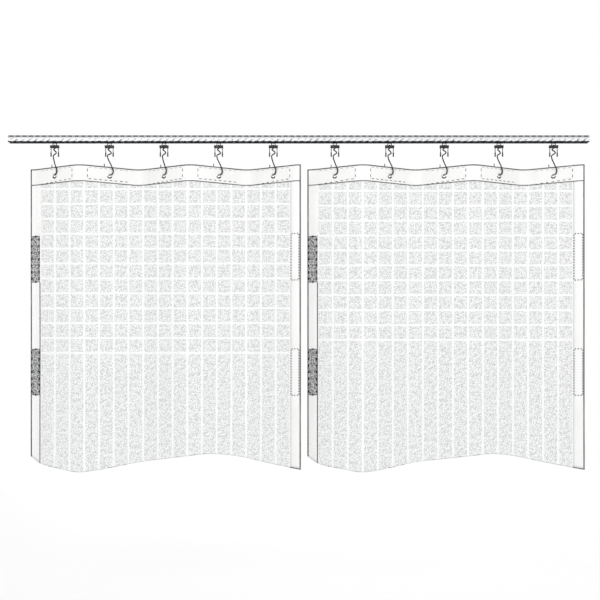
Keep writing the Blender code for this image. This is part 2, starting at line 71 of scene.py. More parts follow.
SHEET_MAP = "sheet"
THREAD_MAP = "threads"
SHARP_ANGLE = math.radians(35)
MERGE = 1e-6

Place = tuple[float, float, float]
PlaceOf = Callable[[float, float], Place]


class Side(Enum):
    """The two panels of the curtain."""

    LEFT = "left"
    RIGHT = "right"


class Face(Enum):
    """The face of a sheet that a piece lies on; the value is the sign of its distance behind."""

    FRONT = -1
    BACK = 1


def object_of(name: str, data: bpy.types.ID, finish: bpy.types.Material | None = None) -> bpy.types.Object:
    """Link a new object to the scene.

    Args:
        name: The object's name.
        data: Its mesh or curve.
        finish: The material of its one slot.

    Returns:
        The object, at the origin.
    """
    made = bpy.data.objects.new(name, data)
    bpy.context.scene.collection.objects.link(made)
    if finish:
        data.materials.append(finish)
    return made


def mesh_of(bm: bmesh.types.BMesh, name: str, outwards: bool = True) -> bpy.types.Mesh:
    """Turn a bmesh into a smooth mesh with sharp corners kept.

    Args:
        bm: The bmesh, which is freed.
        name: The mesh's name.
        outwards: Whether its faces are turned outwards; an open skin keeps them as they are.

    Returns:
        The mesh.
    """
    bmesh.ops.remove_doubles(bm, verts=bm.verts, dist=MERGE)
    if outwards:
        bmesh.ops.recalc_face_normals(bm, faces=bm.faces)
    mesh = bpy.data.meshes.new(name)
    bm.to_mesh(mesh)
    bm.free()
    mesh.shade_smooth()
    mesh.set_sharp_from_angle(angle=SHARP_ANGLE)
    return mesh


def settled(target: bpy.types.Object) -> bpy.types.Mesh:
    """Work an object's modifiers into its mesh and remove the object and its helpers.

    Args:
        target: The object with its modifiers.

    Returns:
        The finished mesh.
    """
    helpers = [step.object for step in target.modifiers if step.type == "BOOLEAN"]
    bpy.context.view_layer.update()
    graph = bpy.context.evaluated_depsgraph_get()
    mesh = bpy.data.meshes.new_from_object(target.evaluated_get(graph))
    mesh.shade_smooth()
    mesh.set_sharp_from_angle(angle=SHARP_ANGLE)
    for obj in [*helpers, target]:
        bpy.data.objects.remove(obj)
    return mesh


def combine(target: bpy.types.Object, other: bpy.types.Mesh, operation: str) -> None:
    """Join a helper mesh to an object, or cut the object with it."""
    step = target.modifiers.new(other.name, "BOOLEAN")
    step.object = object_of(f"helper_{other.name}", other)
    step.operation = operation
    step.solver = "EXACT"


def thicken(piece: bpy.types.Object, thickness: float) -> None:
    """Give a skin its thickness, half to each side."""
    step = piece.modifiers.new("thickness", "SOLIDIFY")
    step.thickness = thickness
    step.offset = 0.0


def smooth_path(points: Sequence[Vector], per_stretch: int) -> list[Vector]:
    """Find points on a smooth curve through the given ones.

    Args:
        points: The points that the curve passes.
        per_stretch: How many points each stretch between two of them gets.

    Returns:
        The curve's points, from the first given one to the last.
    """
    path = []
    last = len(points) - 1
    for index in range(last):
        before = points[max(index - 1, 0)]
        start = points[index]
        end = points[index + 1]
        after = points[min(index + 2, last)]
        for step in range(per_stretch):
            t = step / per_stretch
            path.append(
                start
                + (end - before) * t / 2
                + (2 * before - 5 * start + 4 * end - after) * t**2 / 2
                + (3 * start - before - 3 * end + after) * t**3 / 2
            )
    return [*path, points[last]]


def ease(value: float, low: float, high: float) -> float:
    """Rise smoothly from 0 at low to 1 at high."""
    share = min(1.0, max(0.0, (value - low) / (high - low)))
    return share * share * (3 - 2 * share)


@dataclass(frozen=True)
class FoldPlan:
    """How a panel hangs in plan: flat strips at an angle, joined by round folds.

    Args:
        pitch: The distance between hooks along the rail.
        strips: The number of strips, one to a hook.
        angle: The turn of a strip's flat middle from the rail.
        radius: The radius of the folds.
    """

    pitch: float
    strips: int = 5
    angle: float = math.radians(28)
    radius: float = 0.070

    @property
    def flat_half(self) -> float:
        """Half the flat middle of a strip."""
        return (self.pitch / 2 - self.radius * math.sin(self.angle)) / math.cos(self.angle)

    @property
    def strip_length(self) -> float:
        """A strip's length along the sheet, from fold to fold."""
        return 2 * (self.flat_half + self.radius * self.angle)

    @property
    def length(self) -> float:
        """The whole panel's length along the sheet."""
        return self.strips * self.strip_length

    def slope(self, index: int) -> int:
        """-1 where a strip comes forward from left to right, and 1 where it goes back."""
        return -1 if index % 2 == 0 else 1

    def point(self, run: float, behind: float) -> tuple[Vector, float]:
        """Find a point of the sheet in plan, from the panel's left edge.

        Args:
            run: The distance along the sheet.
            behind: The distance behind the sheet's middle, square to it.

        Returns:
            The point's x and y, and the turn of the sheet there about Z.
        """
        index = min(self.strips - 1, max(0, int(run / self.strip_length)))
        along = run - (index + 1 / 2) * self.strip_length
        flat = max(-self.flat_half, min(self.flat_half, along))
        bend = (along - flat) / self.radius
        turn = self.angle - abs(bend)
        side = math.copysign(self.radius, bend)
        x = flat * math.cos(self.angle) + side * (math.sin(self.angle) - math.sin(turn))
        y = flat * math.sin(self.angle) + side * (math.cos(turn) - math.cos(self.angle))
        y *= self.slope(index)
        turn *= self.slope(index)
        x += (index + 1 / 2) * self.pitch
        return Vector((x - behind * math.sin(turn), y + behind * math.cos(turn))), turn


@dataclass(frozen=True)
class SheetSizes:
    """The sizes of a sheet, its header and its hems.

    Args:
        film: The clear film's thickness.
        hem_width: The width of a side hem.
        hem_half: Half a side hem's thickness.
        header_height: The header's height.
        header_half: Half the header's thickness.
        header_skin: The thickness of one layer of the header.
        weld: How far the film goes up into the header.
        drop: The sheet's height without the wave of its lower edge.
        wave_height: The height of that wave, which the shares follow.
        wave_shares: Share of the panel's width, share of the wave's height.
        thread_columns: The number of cells across the film.
        thread_pitch: The height of a cell.
        first_thread: The distance from the header to the first level thread.
        ripple: How far the film swells from its plan at its lower edge.
    """

    film: float = 0.0008
    hem_width: float = 0.050
    hem_half: float = 0.0008
    header_height: float = 0.075
    header_half: float = 0.0016
    header_skin: float = 0.0008
    weld: float = 0.010
    drop: float = 1.349
    wave_height: float = 0.040
    wave_shares: tuple[tuple[float, float], ...] = (
        (0.00, 0.52),
        (0.04, -0.30),
        (0.12, -0.75),
        (0.23, -1.00),
        (0.48, 0.23),
        (0.67, 0.95),
        (0.87, -0.10),
        (1.00, -0.75),
    )
    thread_columns: int = 17
    thread_pitch: float = 0.0682
    first_thread: float = 0.0260
    ripple: float = 0.0030


@dataclass(frozen=True)
class Fold:
    """A fold between two strips, with the stretch of sheet that is made as one piece over it.

    Args:
        number: The fold's number from the left, from 1.
        start: The run where the stretch starts.
        end: The run where it ends.
        bodies: The bodies of the strips before and after the fold; not used.
        crease_x: The fold's x in the world; not used.
        reach: How far from the fold, along the rail, the sheet bends when the curtain is drawn; not used.
    """

    number: int
    start: float
    end: float
    bodies: tuple[str, str]
    crease_x: float
    reach: float = 0.045

    def bend(self, piece: bpy.types.Object) -> None:
        """Bake a finished piece's place into its mesh."""
        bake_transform(piece)


class Panel:
    """A panel's place in the frame and the shape of its sheet."""

    # The threads under which the stretches of sheet meet, counted from the left hem
    MEETING_THREADS = (4, 8, 13)

    def __init__(self, side: Side, sizes: SheetSizes, level_threads: int) -> None:
        """Read the panel's place from the frame.

        Args:
            side: Which panel it is.
            sizes: The sheet's sizes.
            level_threads: The number of level threads below its header.
        """
        self.side = side
        self.sizes = sizes
        self.level_threads = level_threads
        low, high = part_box(f"sheet_{side.value}_1")
        hooks = [self.middle_x(f"runner_{side.value}_{number}") for number in range(1, 6)]
        self.hooks = hooks
        self.plan = FoldPlan(pitch=(hooks[-1] - hooks[0]) / (len(hooks) - 1))
        self.left = low[0]
        self.top = high[2]
        self.header_bottom = self.top - sizes.header_height
        self.foot = self.top - sizes.drop
        wave = [Vector(point) for point in sizes.wave_shares]
        self.wave = smooth_path(wave, 8)

    @staticmethod
    def middle_x(node: str) -> float:
        """The middle of a node along the rail."""
        low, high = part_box(node)
        return (low[0] + high[0]) / 2

    @property
    def numbers(self) -> range:
        """The numbers of the panel's hooks and strips, from 1."""
        return range(1, self.plan.strips + 1)

    def tag(self, number: int) -> str:
        """The end of a name, such as left_1."""
        return f"{self.side.value}_{number}"

    def body(self, number: int) -> str:
        """The body of a strip."""
        return f"strip_{self.tag(number)}"

    def hook_run(self, number: int) -> float:
        """The run at a hook."""
        return (number - 1 / 2) * self.plan.strip_length

    def seen(self, run: float, height: float) -> tuple[float, float]:
        """Where the camera sees a place on the sheet, as a place in the upright plane of the rail."""
        point, _ = self.plan.point(run, 0)
        eye_x, eye_y, eye_z = Studio.camera_place
        share = eye_y / (eye_y - point.y)
        return eye_x + (self.left + point.x - eye_x) * share, eye_z + (height - eye_z) * share

    def thread_span(self) -> tuple[float, float]:
        """Where the camera sees the first and the last upright thread, at the edges of the hems."""
        hem = self.sizes.hem_width
        return self.seen(hem, 0)[0], self.seen(self.plan.length - hem, 0)[0]

    def thread_run(self, count: int) -> float:
        """The run of an upright thread, counted from the left hem."""
        aim = between(*self.thread_span(), count / self.sizes.thread_columns)
        low, high = 0.0, self.plan.length
        while high - low > MERGE:
            middle = (low + high) / 2
            low, high = (middle, high) if self.seen(middle, 0)[0] < aim else (low, middle)
        return low

    def map_threads(self, mesh: bpy.types.Mesh) -> None:
        """Add the map that the film's threads follow, in even steps as the camera sees them."""
        mesh.uv_layers.new(name=THREAD_MAP)
        for place, thread in zip(mesh.uv_layers[SHEET_MAP].data, mesh.uv_layers[THREAD_MAP].data):
            thread.uv = self.seen(*place.uv)

    def lowest(self, run: float) -> float:
        """The height of the wavy lower edge at a run."""
        share = self.plan.point(run, 0)[0].x / (self.plan.pitch * self.plan.strips)
        for start, end in zip(self.wave, self.wave[1:]):
            if share <= end.x:
                part = max(0.0, (share - start.x) / (end.x - start.x))
                return self.foot + self.sizes.wave_height * start.lerp(end, part).y
        return self.foot + self.sizes.wave_height * self.wave[-1].y

    def ripple(self, run: float, height: float) -> float:
        """How far the film swells backwards at a place, more towards its lower edge."""
        fall = ease(self.header_bottom - height, 0.0, self.sizes.drop)
        seed = 3.0 if self.side is Side.LEFT else 17.0
        swell = noise.noise(Vector((run / 0.17, height / 0.62, seed)))
        pull = noise.noise(Vector((run / 0.045, height / 0.45, seed + 5)))
        near = 1 - ease(self.header_bottom - height, 0.05, 0.40)
        start = ease(self.header_bottom - height, 0.0, 0.05)
        return self.sizes.ripple * fall * swell + 0.0009 * near * start * pull

    def world(self, run: float, behind: float, height: float) -> Vector:
        """The point in the world of a place on the sheet."""
        point, _ = self.plan.point(run, behind + self.ripple(run, height))
        return Vector((self.left + point.x, point.y, height))

    def turn(self, run: float) -> float:
        """The sheet's turn about Z at a run."""
        return self.plan.point(run, 0)[1]

    def folds(self) -> list[Fold]:
        """List the panel's folds with the stretches of sheet over them.

        Returns:
            One fold for each pair of strips, from the left.
        """
        meets = [self.thread_run(count) for count in self.MEETING_THREADS]
        ends = [0.0, *meets, self.plan.length]
        made = []
        for number in self.numbers[:-1]:
            crease_x = self.left + number * self.plan.pitch
            bodies = (self.body(number), self.body(number + 1))
            made.append(Fold(number, ends[number - 1], ends[number], bodies, crease_x))
        return made

    def skin(self, name: str, columns: int, rows: int, place: PlaceOf) -> bpy.types.Mesh:
        """Lay a grid over the sheet, with a map of its runs and heights in metres.

        Args:
            name: The mesh's name.
            columns: The number of cells across.
            rows: The number of cells down.
            place: Gives the place of a grid point from its shares across and up.

        Returns:
            The open skin.
        """
        bm = bmesh.new()
        bmesh.ops.create_grid(bm, x_segments=columns, y_segments=rows, size=0.5)
        places = {}
        for vert in bm.verts:
            run, behind, height = place(vert.co.x + 0.5, vert.co.y + 0.5)
            places[vert] = (run, height)
            vert.co = self.world(run, behind, height)
        layer = bm.loops.layers.uv.new(SHEET_MAP)
        for face in bm.faces:
            for loop in face.loops:
                loop[layer].uv = places[loop.vert]
        mesh = bpy.data.meshes.new(name)
        bm.to_mesh(mesh)
        bm.free()
        mesh.shade_smooth()
        return mesh


def between(low: float, high: float, share: float) -> float:
    """The value at a share of the way from low to high."""
    return low + (high - low) * share


def along_profile(profile: Sequence[tuple[float, float]], share: float) -> tuple[float, float]:
    """The point of a profile at a share of its points."""
    at = share * (len(profile) - 1)
    index = min(int(at + MERGE), len(profile) - 2)
    part = at - index
    return tuple(between(a, b, part) for a, b in zip(profile[index], profile[index + 1]))


def half_round(radius: float, steps: int) -> list[tuple[float, float]]:
    """Points of a half circle over the origin, from the front to the back."""
    angles = [math.pi * (1 - step / steps) for step in range(steps + 1)]
    return [(radius * math.cos(angle), radius * math.sin(angle)) for angle in angles]


class Wiring:
    """Adds nodes to a shader tree and links them, so that a finish reads as a short recipe."""

    def __init__(self, tree: bpy.types.NodeTree) -> None:
        """Work on a tree."""
        self.tree = tree

    def node(self, kind: str, **settings: object) -> bpy.types.Node:
        """Add a node with its settings."""
        made = self.tree.nodes.new(kind)
        for name, value in settings.items():
            setattr(made, name, value)
        return made

    def feed(self, socket: bpy.types.NodeSocket, value: object) -> None:
        """Link a value's socket to a socket, or write a plain value on it."""
        if isinstance(value, bpy.types.NodeSocket):
            self.tree.links.new(value, socket)
        elif value is not None:
            socket.default_value = value

    def math(self, operation: str, *values: object, clamp: bool = False) -> bpy.types.NodeSocket:
        """Work out a sum of numbers or sockets."""
        made = self.node("ShaderNodeMath", operation=operation, use_clamp=clamp)
        for socket, value in zip(made.inputs, values):
            self.feed(socket, value)
        return made.outputs[0]

    def mix(self, share: object, low: object, high: object) -> bpy.types.NodeSocket:
        """Mix two colours."""
        made = self.node("ShaderNodeMix", data_type="RGBA")
        for name, value in (("Factor", share), ("A", low), ("B", high)):
            sockets = [socket for socket in made.inputs if socket.name == name and socket.enabled]
            self.feed(sockets[0], value)
        return [socket for socket in made.outputs if socket.enabled][0]

    def ranged(self, value: object, low: float, high: float, first: object, last: object) -> bpy.types.NodeSocket:
        """Map a value smoothly from low and high to first and last."""
        made = self.node("ShaderNodeMapRange", interpolation_type="SMOOTHSTEP")
        for name, given in (
            ("Value", value),
            ("From Min", low),
            ("From Max", high),
            ("To Min", first),
            ("To Max", last),
        ):
            self.feed(made.inputs[name], given)
        return made.outputs["Result"]

    def noise(self, vector: object, scale: object, detail: float = 2.0) -> bpy.types.NodeSocket:
        """A noise value, about a half in the middle."""
        made = self.node("ShaderNodeTexNoise")
        self.feed(made.inputs["Vector"], vector)
        self.feed(made.inputs["Scale"], scale)
        made.inputs["Detail"].default_value = detail
        return made.outputs["Fac"]

    def lerp(self, share: object, low: object, high: object) -> bpy.types.NodeSocket:
        """Mix two numbers."""
        made = self.node("ShaderNodeMix", data_type="FLOAT")
        for name, value in (("Factor", share), ("A", low), ("B", high)):
            sockets = [socket for socket in made.inputs if socket.name == name and socket.enabled]
            self.feed(sockets[0], value)
        return [socket for socket in made.outputs if socket.enabled][0]

    def cells(self, vector: object, scale: object) -> bpy.types.NodeSocket:
        """The distance to the middle of the nearest of many scattered cells."""
        made = self.node("ShaderNodeTexVoronoi", voronoi_dimensions="2D")
        self.feed(made.inputs["Vector"], vector)
        self.feed(made.inputs["Scale"], scale)
        made.inputs["Randomness"].default_value = 0.85
        return made.outputs["Distance"]

    def mapped(self, vector: object, turn: float, scale: tuple[float, float, float]) -> bpy.types.NodeSocket:
        """Coordinates turned about Z, then scaled."""
        made = self.node("ShaderNodeMapping", vector_type="TEXTURE")
        made.inputs["Rotation"].default_value = (0, 0, turn)
        made.inputs["Scale"].default_value = scale
        self.feed(made.inputs["Vector"], vector)
        return made.outputs["Vector"]

    def apart(self, vector: object) -> bpy.types.NodeOutputs:
        """The X, Y and Z of a vector."""
        made = self.node("ShaderNodeSeparateXYZ")
        self.feed(made.inputs["Vector"], vector)
        return made.outputs

    def bump(self, height: object, distance: float, strength: float = 1.0) -> bpy.types.NodeSocket:
        """A normal from a height."""
        made = self.node("ShaderNodeBump")
        made.inputs["Distance"].default_value = distance
        made.inputs["Strength"].default_value = strength
        self.feed(made.inputs["Height"], height)
        return made.outputs["Normal"]

    def sheet_map(self) -> bpy.types.NodeSocket:
        """The sheet's own map of runs and heights, in metres."""
        return self.node("ShaderNodeUVMap", uv_map=SHEET_MAP).outputs["UV"]

    def thread_map(self) -> bpy.types.NodeSocket:
        """The film's map for its threads: the place in the plane of the rail, in metres."""
        return self.node("ShaderNodeUVMap", uv_map=THREAD_MAP).outputs["UV"]

    def object_place(self) -> bpy.types.NodeSocket:
        """The place on the object, in metres."""
        return self.node("ShaderNodeTexCoord").outputs["Object"]

    def use(self, group: bpy.types.NodeTree, **values: object) -> bpy.types.NodeOutputs:
        """Place a shared effect with its own values; an underscore stands for a space."""
        made = self.node("ShaderNodeGroup", node_tree=group)
        for name, value in values.items():
            self.feed(made.inputs[name.replace("_", " ")], value)
        return made.outputs


class SharedEffects:
    """The effects that more than one finish uses, each a group of nodes made once."""

    def __init__(self) -> None:
        """Build every effect."""
        self.grain = self.build_grain()
        self.specks = self.build_specks()
        self.band = self.build_band()
        self.dust = self.build_dust()

    @staticmethod
    def begin(name: str, inputs: dict[str, tuple[str, object]], outputs: dict[str, str]) -> tuple[Wiring, dict]:
        """Start a group with named inputs and outputs.

        Args:
            name: The group's name.
            inputs: Each input's kind of socket and value.
            outputs: Each output's kind of socket.

        Returns:
            The group's wiring, and its input and output nodes.
        """
        tree = bpy.data.node_groups.new(name, "ShaderNodeTree")
        for label, (kind, value) in inputs.items():
            made = tree.interface.new_socket(label, in_out="INPUT", socket_type=f"NodeSocket{kind}")
            if value is not None:
                made.default_value = value
        for label, kind in outputs.items():
            tree.interface.new_socket(label, in_out="OUTPUT", socket_type=f"NodeSocket{kind}")
        wiring = Wiring(tree)
        ends = {"in": wiring.node("NodeGroupInput").outputs, "out": wiring.node("NodeGroupOutput").inputs}
        return wiring, ends

    def build_grain(self) -> bpy.types.NodeTree:
        """A fine leathery grain: its height and a faint change of tone."""
        inputs = {"Vector": ("Vector", None), "Scale": ("Float", 900.0)}
        wiring, ends = self.begin("fine_grain", inputs, {"Height": "Float", "Tone": "Float"})
        fine = wiring.noise(ends["in"]["Vector"], ends["in"]["Scale"], 3.0)
        broad_scale = wiring.math("MULTIPLY", ends["in"]["Scale"], 0.04)
        broad = wiring.noise(ends["in"]["Vector"], broad_scale, 2.0)
        wiring.feed(ends["out"]["Height"], fine)
        wiring.feed(ends["out"]["Tone"], wiring.ranged(broad, 0.3, 0.7, 0.0, 1.0))
        return wiring.tree

    def build_specks(self) -> bpy.types.NodeTree:
        """Small separate dots of uneven size, drawn out along a slant where Slant is 1."""
        inputs = {
            "Vector": ("Vector", None),
            "Scale": ("Float", 115.0),
            "Size": ("Float", 0.40),
            "Slant": ("Float", 0.0),
        }
        wiring, ends = self.begin("specks", inputs, {"Specks": "Float"})
        uneven = wiring.ranged(wiring.noise(ends["in"]["Vector"], 60.0, 1.0), 0.3, 0.7, -0.14, 0.10)
        size = wiring.math("ADD", ends["in"]["Size"], uneven)
        inner = wiring.math("SUBTRACT", size, 0.14)
        outer = wiring.math("ADD", size, 0.14)
        slanted = wiring.mapped(ends["in"]["Vector"], math.radians(-62), (1.35, 0.72, 1.0))
        dots, strokes = (
            wiring.ranged(wiring.cells(vector, ends["in"]["Scale"]), inner, outer, 1.0, 0.0)
            for vector in (ends["in"]["Vector"], slanted)
        )
        wiring.feed(ends["out"]["Specks"], wiring.lerp(ends["in"]["Slant"], dots, strokes))
        return wiring.tree

    def build_band(self) -> bpy.types.NodeTree:
        """A soft-edged band: 1 where a value is within half a width of a middle."""
        inputs = {
            "Value": ("Float", 0.0),
            "Middle": ("Float", 0.0),
            "Half Width": ("Float", 0.005),
            "Soft": ("Float", 0.0008),
        }
        wiring, ends = self.begin("band", inputs, {"Band": "Float"})
        away = wiring.math("ABSOLUTE", wiring.math("SUBTRACT", ends["in"]["Value"], ends["in"]["Middle"]))
        inner = wiring.math("SUBTRACT", ends["in"]["Half Width"], ends["in"]["Soft"])
        outer = wiring.math("ADD", ends["in"]["Half Width"], ends["in"]["Soft"])
        wiring.feed(ends["out"]["Band"], wiring.ranged(away, inner, outer, 1.0, 0.0))
        return wiring.tree

    def build_dust(self) -> bpy.types.NodeTree:
        """Handling marks: broad faint clouds that take a colour towards a grime."""
        inputs = {
            "Vector": ("Vector", None),
            "Colour": ("Color", (0.8, 0.8, 0.8, 1.0)),
            "Grime": ("Color", (0.5, 0.5, 0.48, 1.0)),
            "Scale": ("Float", 9.0),
            "Amount": ("Float", 0.15),
        }
        outputs = {"Colour": "Color", "Marks": "Float"}
        wiring, ends = self.begin("dust", inputs, outputs)
        clouds = wiring.noise(ends["in"]["Vector"], ends["in"]["Scale"], 4.0)
        marks = wiring.math("MULTIPLY", wiring.ranged(clouds, 0.45, 0.75, 0.0, 1.0), ends["in"]["Amount"])
        wiring.feed(ends["out"]["Colour"], wiring.mix(marks, ends["in"]["Colour"], ends["in"]["Grime"]))
        wiring.feed(ends["out"]["Marks"], marks)
        return wiring.tree


@dataclass(frozen=True)
class Finish:
    """What every finish has.

    Args:
        name: The material's name.
        colour: Its plain colour.
        roughness: How dull it is.
        metallic: 1 for bare metal.
    """

    name: str
    colour: tuple[float, float, float]
    roughness: float = 0.5
    metallic: float = 0.0

    def begin(self) -> tuple[bpy.types.Material, Wiring, bpy.types.NodeInputs]:
        """Make the material with its plain values.

        Returns:
            The material, its wiring and its shader's inputs.
        """
        made = bpy.data.materials.new(self.name)
        made.use_nodes = True
        wiring = Wiring(made.node_tree)
        shader = made.node_tree.nodes["Principled BSDF"]
        shader.inputs["Base Color"].default_value = (*self.colour, 1.0)
        shader.inputs["Roughness"].default_value = self.roughness
        shader.inputs["Metallic"].default_value = self.metallic
        made.diffuse_color = (*self.colour, 1.0)
        return made, wiring, shader.inputs


@dataclass(frozen=True)
class FilmFinish(Finish):
    """Clear film with a stippled haze and white threads welded in."""

    clearness: float = 0.62
    speck_cover: float = 0.105
    speck_scale: float = 138.0
    speck_colour: tuple[float, float, float] = (0.22, 0.225, 0.23)
    thread_colour: tuple[float, float, float] = (0.90, 0.905, 0.905)
    thread_half: float = 0.0046

    def build(self, effects: SharedEffects, panel: Panel) -> bpy.types.Material:
        """Make the film's material for a panel, whose threads it follows.

        Args:
            effects: The shared effects.
            panel: The panel.

        Returns:
            The material.
        """
        made, wiring, inputs = self.begin()
        place = wiring.sheet_map()
        _, height, _ = wiring.apart(place)
        threads = self.threads(wiring, effects, panel)
        last = panel.header_bottom - panel.sizes.first_thread
        last -= (panel.level_threads - 1) * panel.sizes.thread_pitch
        slant = wiring.ranged(height, last - 0.03, last, 1.0, 0.0)
        specks = wiring.use(effects.specks, Vector=place, Scale=self.speck_scale, Slant=slant)["Specks"]
        grain = wiring.use(effects.grain, Vector=place, Scale=1400.0)
        film = wiring.mix(specks, (*self.colour, 1.0), (*self.speck_colour, 1.0))
        wiring.feed(inputs["Base Color"], wiring.mix(threads, film, (*self.thread_colour, 1.0)))
        cover = wiring.math("ADD", 1 - self.clearness, wiring.math("MULTIPLY", specks, self.speck_cover))
        wiring.feed(inputs["Alpha"], wiring.math("MAXIMUM", cover, threads))
        dull = wiring.math("MULTIPLY", threads, 0.35)
        wiring.feed(inputs["Roughness"], wiring.math("ADD", dull, self.roughness))
        relief = wiring.math("ADD", threads, wiring.math("MULTIPLY", grain["Height"], 0.02))
        wiring.feed(inputs["Normal"], wiring.bump(relief, 0.0004))
        return made

    def threads(
        self,
        wiring: Wiring,
        effects: SharedEffects,
        panel: Panel,
    ) -> bpy.types.NodeSocket:
        """Where the threads lie: upright ones all the way down, level ones only in the upper part."""
        sizes = panel.sizes
        across, height, _ = wiring.apart(wiring.thread_map())
        left, right = panel.thread_span()
        column = (right - left) / sizes.thread_columns
        fineness = wiring.math("MULTIPLY", wiring.noise(wiring.sheet_map(), 150.0, 1.0), 0.0040)
        half = wiring.math("ADD", fineness, self.thread_half - 0.0020)
        upright = self.comb(wiring, effects, across, left, column, half)
        first = panel.header_bottom - sizes.first_thread
        level = self.comb(wiring, effects, height, first, sizes.thread_pitch, half)
        last = first - (panel.level_threads - 1 / 2) * sizes.thread_pitch
        upper = wiring.math("GREATER_THAN", height, last)
        return wiring.math("MAXIMUM", upright, wiring.math("MULTIPLY", level, upper))

    @staticmethod
    def comb(
        wiring: Wiring,
        effects: SharedEffects,
        value: bpy.types.NodeSocket,
        first: float,
        pitch: float,
        half: bpy.types.NodeSocket,
    ) -> bpy.types.NodeSocket:
        """Bands at an even pitch from a first one."""
        steps = wiring.math("DIVIDE", wiring.math("SUBTRACT", value, first), pitch)
        near = wiring.math("ROUND", steps)
        away = wiring.math("MULTIPLY", wiring.math("SUBTRACT", steps, near), pitch)
        return wiring.use(effects.band, Value=away, Half_Width=half, Soft=0.0010)["Band"]


@dataclass(frozen=True)
class VinylFinish(Finish):
    """Opaque sheet for the header, the hems and the bindings, with a fine grain and faint marks."""

    marks: float = 0.10
    mark_scale: float = 9.0
    grime: tuple[float, float, float] = (0.55, 0.55, 0.53)
    pocketed: bool = False

    def build(self, effects: SharedEffects, panel: Panel | None = None) -> bpy.types.Material:
        """Make the material; a pocketed one shows the plates inside the panel's header.

        Args:
            effects: The shared effects.
            panel: The panel, for a pocketed finish.

        Returns:
            The material.
        """
        made, wiring, inputs = self.begin()
        place = wiring.sheet_map()
        dust = wiring.use(
            effects.dust,
            Vector=place,
            Colour=(*self.colour, 1.0),
            Grime=(*self.grime, 1.0),
            Scale=self.mark_scale,
            Amount=self.marks,
        )
        grain = wiring.use(effects.grain, Vector=place, Scale=1100.0)
        height = wiring.math("MULTIPLY", grain["Height"], 0.04)
        if self.pocketed and panel:
            height = wiring.math("ADD", height, self.pockets(wiring, effects, panel, place))
        wiring.feed(inputs["Base Color"], dust["Colour"])
        wiring.feed(inputs["Roughness"], wiring.math("ADD", dust["Marks"], self.roughness))
        wiring.feed(inputs["Normal"], wiring.bump(height, 0.0006))
        return made

    @staticmethod
    def pockets(
        wiring: Wiring, effects: SharedEffects, panel: Panel, place: bpy.types.NodeSocket
    ) -> bpy.types.NodeSocket:
        """The raised outline of the plates, one at each hook."""
        run, height, _ = wiring.apart(place)
        plate = HeaderPlate()
        steps = wiring.math("FRACT", wiring.math("DIVIDE", run, panel.plan.strip_length))
        away = wiring.math("MULTIPLY", wiring.math("SUBTRACT", steps, 0.5), panel.plan.strip_length)
        long = wiring.use(effects.band, Value=away, Half_Width=plate.length / 2, Soft=0.0015)["Band"]
        middle = panel.top - plate.below_top
        high = wiring.use(
            effects.band, Value=height, Middle=middle, Half_Width=plate.height / 2, Soft=0.0015
        )["Band"]
        return wiring.math("MULTIPLY", long, high)


@dataclass(frozen=True)
class PileFinish(Finish):
    """The face of a hook-and-loop tape: short tangled pile with dark and light specks."""

    dark: tuple[float, float, float] = (0.06, 0.06, 0.063)
    speck_scale: float = 135.0
    speck_size: float = 0.42

    def build(self, effects: SharedEffects) -> bpy.types.Material:
        """Make the material from the shared effects."""
        made, wiring, inputs = self.begin()
        place = wiring.sheet_map()
        broad = wiring.use(effects.specks, Vector=place, Scale=self.speck_scale, Size=self.speck_size)
        fine = wiring.use(effects.grain, Vector=place, Scale=1500.0)
        mixed = wiring.mix(broad["Specks"], (*self.colour, 1.0), (*self.dark, 1.0))
        light = tuple(min(0.85, 1.4 * part) for part in self.colour)
        hairs = wiring.ranged(fine["Height"], 0.48, 0.64, 0.0, 0.25)
        wiring.feed(inputs["Base Color"], wiring.mix(hairs, mixed, (*light, 1.0)))
        wiring.feed(inputs["Normal"], wiring.bump(fine["Height"], 0.0009))
        inputs["Sheen Weight"].default_value = 0.25
        inputs["Sheen Roughness"].default_value = 0.6
        return made


@dataclass(frozen=True)
class ThreadFinish(Finish):
    """Twisted sewing thread."""

    def build(self, effects: SharedEffects) -> bpy.types.Material:
        """Make the material from the shared effects."""
        made, wiring, inputs = self.begin()
        place = wiring.object_place()
        grain = wiring.use(effects.grain, Vector=place, Scale=2600.0)
        light = tuple(min(1.0, 1.5 * part) for part in self.colour)
        share = wiring.math("MULTIPLY", grain["Tone"], 0.5)
        wiring.feed(inputs["Base Color"], wiring.mix(share, (*self.colour, 1.0), (*light, 1.0)))
        wiring.feed(inputs["Normal"], wiring.bump(grain["Height"], 0.0001))
        return made


@dataclass(frozen=True)
class MetalFinish(Finish):
    """Plated or drawn steel with faint streaks and dull patches."""

    streak: tuple[float, float, float] = (0.15, 1.0, 1.0)
    dull: float = 0.18
    marks: float = 0.30
    grime: tuple[float, float, float] = (0.16, 0.15, 0.14)

    def toned(self, wiring: Wiring, place: bpy.types.NodeSocket, colour: bpy.types.NodeSocket) -> bpy.types.NodeSocket:
        """The colour with what one kind of piece adds to it, here nothing."""
        return colour

    def build(self, effects: SharedEffects) -> bpy.types.Material:
        """Make the material from the shared effects."""
        made, wiring, inputs = self.begin()
        place = wiring.object_place()
        streaked = wiring.mapped(place, 0.0, self.streak)
        grain = wiring.use(effects.grain, Vector=streaked, Scale=700.0)
        dust = wiring.use(
            effects.dust,
            Vector=place,
            Colour=(*self.colour, 1.0),
            Grime=(*self.grime, 1.0),
            Scale=70.0,
            Amount=self.marks,
        )
        wiring.feed(inputs["Base Color"], self.toned(wiring, place, dust["Colour"]))
        patches = wiring.math("MULTIPLY", grain["Tone"], self.dull)
        wiring.feed(inputs["Roughness"], wiring.math("ADD", patches, self.roughness))
        wiring.feed(inputs["Normal"], wiring.bump(grain["Height"], 0.00003))
        return made


